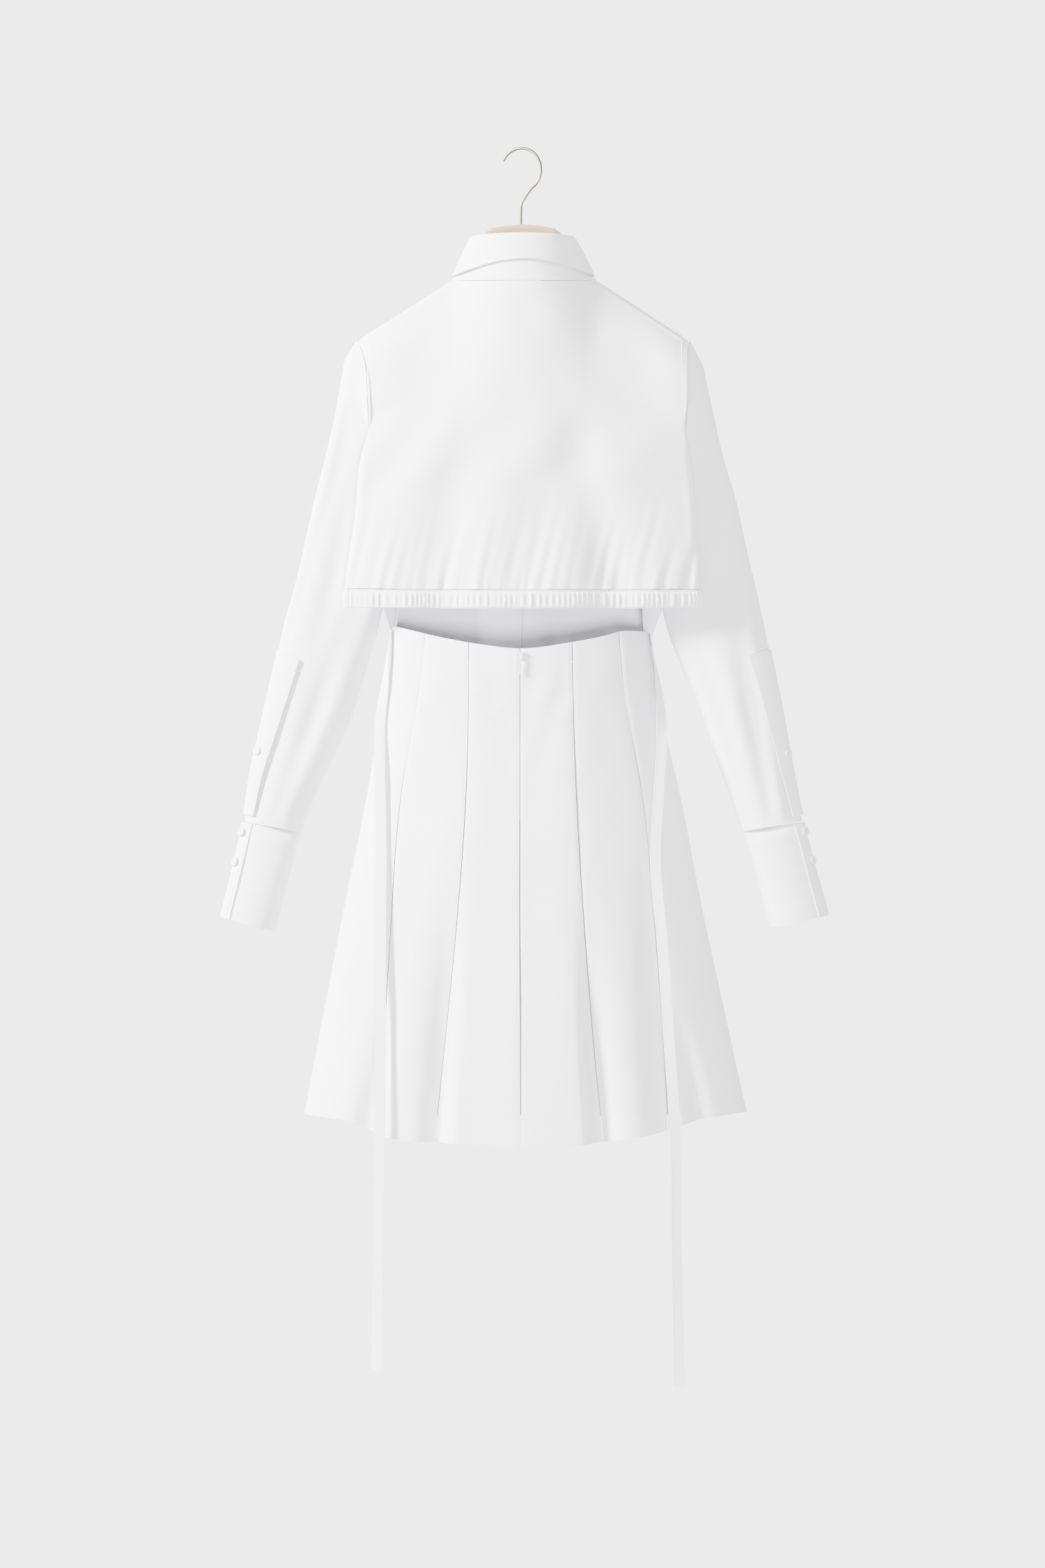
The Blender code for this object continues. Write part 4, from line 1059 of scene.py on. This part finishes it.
def make_skirt():
    def seam(index):
        return lambda z: seam_angle(index, z)

    def at(degrees):
        return lambda z: math.radians(degrees)

    panels = (
        ("skirt_side_back_left", at(0), seam(1), 16, 80, 101),
        ("skirt_mid_back_left", seam(1), seam(2), 14, 60, 102),
        ("skirt_back_left", seam(2), seam(3), 14, 60, 103),
        ("skirt_back_right", seam(3), seam(4), 14, 60, 104),
        ("skirt_mid_back_right", seam(4), seam(5), 14, 60, 105),
        ("skirt_side_back_right", seam(5), at(180), 16, 80, 106),
        ("skirt_front", at(180), at(360), 40, 220, 107),
    )
    for name, start, end, count, fine, seed in panels:
        is_front = name == "skirt_front"
        grid = refine(skirt_panel(start, end, count, 14, front=is_front), 110, fine)
        across, down = lengths(grid)
        left = down[-1:] - down
        height = 0.7 * waves(across, down, seed, 110.0, 500.0) * np.clip(down / 80.0, 0, 1)
        height += 0.5 * waves(across, down, seed + 9, 60.0, 70.0) * near(down - 60.0, 60.0)
        height += 0.35 * near(left - 5.0, 4.5)
        height += seam_pinch(across)
        grid = press(grid, -height)
        shell(f"cloth_{name}", grid, WALL, (name,), -1)
        stitch_row(f"{name}_hem_stitches", grid, 11.0, WALL, -1, from_end=True)
        if not is_front:
            stitch_row(f"{name}_top_stitches", grid, 4.0, WALL, -1)


def make_tie(side):
    route = np.array(TIES[side], float)
    heights = np.linspace(route[0, 0], route[-1, 0], 120)
    outward = 1 if side == "left" else -1
    strip = []
    for z in heights:
        x, y = column(route, 1, z), column(route, 2, z)
        turn = float(ease((route[0, 0] - z) / 130.0)) * math.pi / 2 * 0.93
        sway = 0.10 * math.sin((z + 560.0) / 95.0 + outward)
        flat = np.array([outward * math.sin(turn + sway), -math.cos(turn + sway), 0])
        strip.append([np.array([x, y, z]) + flat * TIE_WIDTH * s for s in (-0.5, -0.25, 0.0, 0.25, 0.5)])
    grid = refine(np.array(strip), 240, 9)
    shell(f"cloth_tie_{side}", grid, WALL, (f"tie_{side}",), outward)
    stitch_column(f"tie_{side}_stitches", grid, 1.3, WALL, outward)


def make_button(number_name):
    """A four-hole button with a raised rim and a crossed thread, on its plain solid's place."""
    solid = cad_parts[number_name]
    points = np.array([v.co for v in solid.data.vertices])
    centre = points.mean(axis=0)
    _, _, axes = np.linalg.svd(points - centre)
    normal = Vector(axes[2])
    toward = Vector((0, -1, 0)) if "front" in number_name else Vector((centre[0], 0.02, 0))
    if normal.dot(toward) < 0:
        normal = -normal
    radius = BUTTON_RADIUS * MM
    thick = BUTTON_THICK * MM
    profile = ((0.0, 0.30), (0.50, 0.30), (0.62, 0.42), (0.74, 0.50), (0.90, 0.46), (0.99, 0.25), (1.0, 0.0),
               (0.93, -0.35), (0.70, -0.5), (0.0, -0.5))
    work = bmesh.new()
    rings = []
    segments = 40
    for share, high in profile:
        if share == 0.0:
            rings.append([work.verts.new((0, 0, high * thick))])
            continue
        rings.append([
            work.verts.new((radius * share * math.cos(a), radius * share * math.sin(a), high * thick))
            for a in np.linspace(0, 2 * math.pi, segments, endpoint=False)
        ])
    for upper, lower in zip(rings, rings[1:]):
        for k in range(segments):
            after = (k + 1) % segments
            if len(upper) == 1:
                work.faces.new((upper[0], lower[k], lower[after]))
            elif len(lower) == 1:
                work.faces.new((upper[k], lower[0], upper[after]))
            else:
                work.faces.new((upper[k], lower[k], lower[after], upper[after]))
    mesh = bpy.data.meshes.new(f"{number_name}_pearl")
    work.to_mesh(mesh)
    work.free()
    mesh.shade_smooth()
    made = bpy.data.objects.new(f"{number_name}_pearl", mesh)
    bpy.context.scene.collection.objects.link(made)
    made.data.materials.append(MATERIALS["button"])
    made.location = Vector(centre)
    made.rotation_euler = normal.to_track_quat("Z", "Y").to_euler()
    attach(made, "root")
    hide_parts(number_name)
    turn = normal.to_track_quat("Z", "Y").to_matrix()
    lines = []
    for sign in (1, -1):
        a = Vector(centre) + turn @ Vector((-1.1 * MM, -1.1 * sign * MM, 0.34 * thick))
        b = Vector(centre) + turn @ Vector((1.1 * MM, 1.1 * sign * MM, 0.34 * thick))
        lines.append((np.array(a) / MM, np.array(b) / MM))
    for k, (a, b) in enumerate(lines):
        stitches(f"{number_name}_thread_{k}", [a, b], [np.array(normal)] * 2, 2.6, 0.1, 0.7)


def make_hook():
    """The hook again as a smooth round wire, on the same path as its solid."""
    centre_z = HOOK_WIRE - HOOK_RADIUS
    flat = [(HOOK_RADIUS * math.cos(a), centre_z + HOOK_RADIUS * math.sin(a)) for a in np.radians(np.arange(28, 226, 4))]
    flat += [(-14.6, -42.3), (-8.0, -50.0), (-2.5, -57.5), (-0.4, -62.0), (0.0, -66.0), (0.0, -96.0)]
    turn = math.radians(HOOK_SWIVEL_DEG)
    data = bpy.data.curves.new("hook_wire", "CURVE")
    data.dimensions = "3D"
    data.bevel_depth = HOOK_WIRE * MM
    data.bevel_resolution = 7
    data.use_fill_caps = True
    line = data.splines.new("NURBS")
    line.points.add(len(flat) - 1)
    line.use_endpoint_u = True
    line.order_u = 4
    for point, (r, z) in zip(line.points, flat):
        point.co = ((SHANK_X + r * math.cos(turn)) * MM, r * math.sin(turn) * MM, z * MM, 1)
    made = bpy.data.objects.new("hook_wire", data)
    bpy.context.scene.collection.objects.link(made)
    data.materials.append(MATERIALS["nickel"])
    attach(made, "root")
    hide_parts("hanger_hook")


def finish_hard_pieces():
    """Hard pieces whose solids are the right shape keep them, with their own finish."""
    finishes = {"hanger_body": "beech", "zip_slider": "enamel", "zip_pull_tab": "enamel",
                "zip_tape_left": "tape", "zip_tape_right": "tape"}
    for name, look in finishes.items():
        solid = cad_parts[name]
        solid.data.materials.clear()
        solid.data.materials.append(MATERIALS[look])


# ---------------------------------------------------------------- camera, world and light

VIEW_DISTANCE = 5.0
VIEW_HEIGHT = 1.755  # metres of the object's plane, from the picture's foot to its top
VIEW_MIDDLE = (0.0, -0.714)  # x, z
SENSOR = 36.0
WALL_GLOW, ROOM_GLOW = 4.5, 1.3  # the world's strength behind the object, and on the seen side


def make_camera():
    data = bpy.data.cameras.new("camera")
    data.sensor_width = SENSOR
    data.lens = SENSOR * VIEW_DISTANCE / VIEW_HEIGHT
    camera = bpy.data.objects.new("camera", data)
    camera.location = (VIEW_MIDDLE[0], VIEW_DISTANCE + 0.03, VIEW_MIDDLE[1])
    camera.rotation_euler = Euler((math.radians(90), 0, math.radians(180)))
    bpy.context.scene.collection.objects.link(camera)
    bpy.context.scene.camera = camera


def make_light(name, place, size, power, aim=(0, 0, -0.7)):
    data = bpy.data.lights.new(name, "AREA")
    data.shape = "RECTANGLE"
    data.size, data.size_y = size
    data.energy = power
    light = bpy.data.objects.new(name, data)
    light.location = place
    light.rotation_euler = (Vector(aim) - Vector(place)).to_track_quat("-Z", "Y").to_euler()
    bpy.context.scene.collection.objects.link(light)


def make_world():
    """A pale wall's light from the far side, and a dimmer room on the side of the seen back."""
    world = bpy.data.worlds.new("studio")
    bpy.context.scene.world = world
    world.use_nodes = True
    tree = world.node_tree
    shade = tree.nodes["Background"]
    place = node(tree, "ShaderNodeTexCoord")
    split = node(tree, "ShaderNodeSeparateXYZ")
    tree.links.new(place.outputs["Generated"], split.inputs["Vector"])
    spread = node(tree, "ShaderNodeMapRange")
    spread.inputs["From Min"].default_value = -0.75
    spread.inputs["From Max"].default_value = 0.35
    spread.inputs["To Min"].default_value = WALL_GLOW
    spread.inputs["To Max"].default_value = ROOM_GLOW
    tree.links.new(split.outputs["Y"], spread.inputs["Value"])
    tree.links.new(spread.outputs["Result"], shade.inputs["Strength"])
    shade.inputs["Color"].default_value = (1.0, 0.99, 0.985, 1)


make_world()
make_camera()
make_light("key", (3.2, 1.3, 0.9), (0.6, 0.8), 1500)
make_light("fill", (-0.5, 4.7, -1.5), (0.9, 0.9), 520)
make_light("front", (-1.8, -3.0, 1.2), (1.2, 1.2), 60)
coarse_back, _ = make_back()
make_casings(coarse_back)
make_fronts()
make_collar()
for arm in ("left", "right"):
    make_arm(arm)
    make_tie(arm)
make_skirt()
for button in sorted(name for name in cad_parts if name.startswith("button_")):
    make_button(button)
make_hook()
finish_hard_pieces()
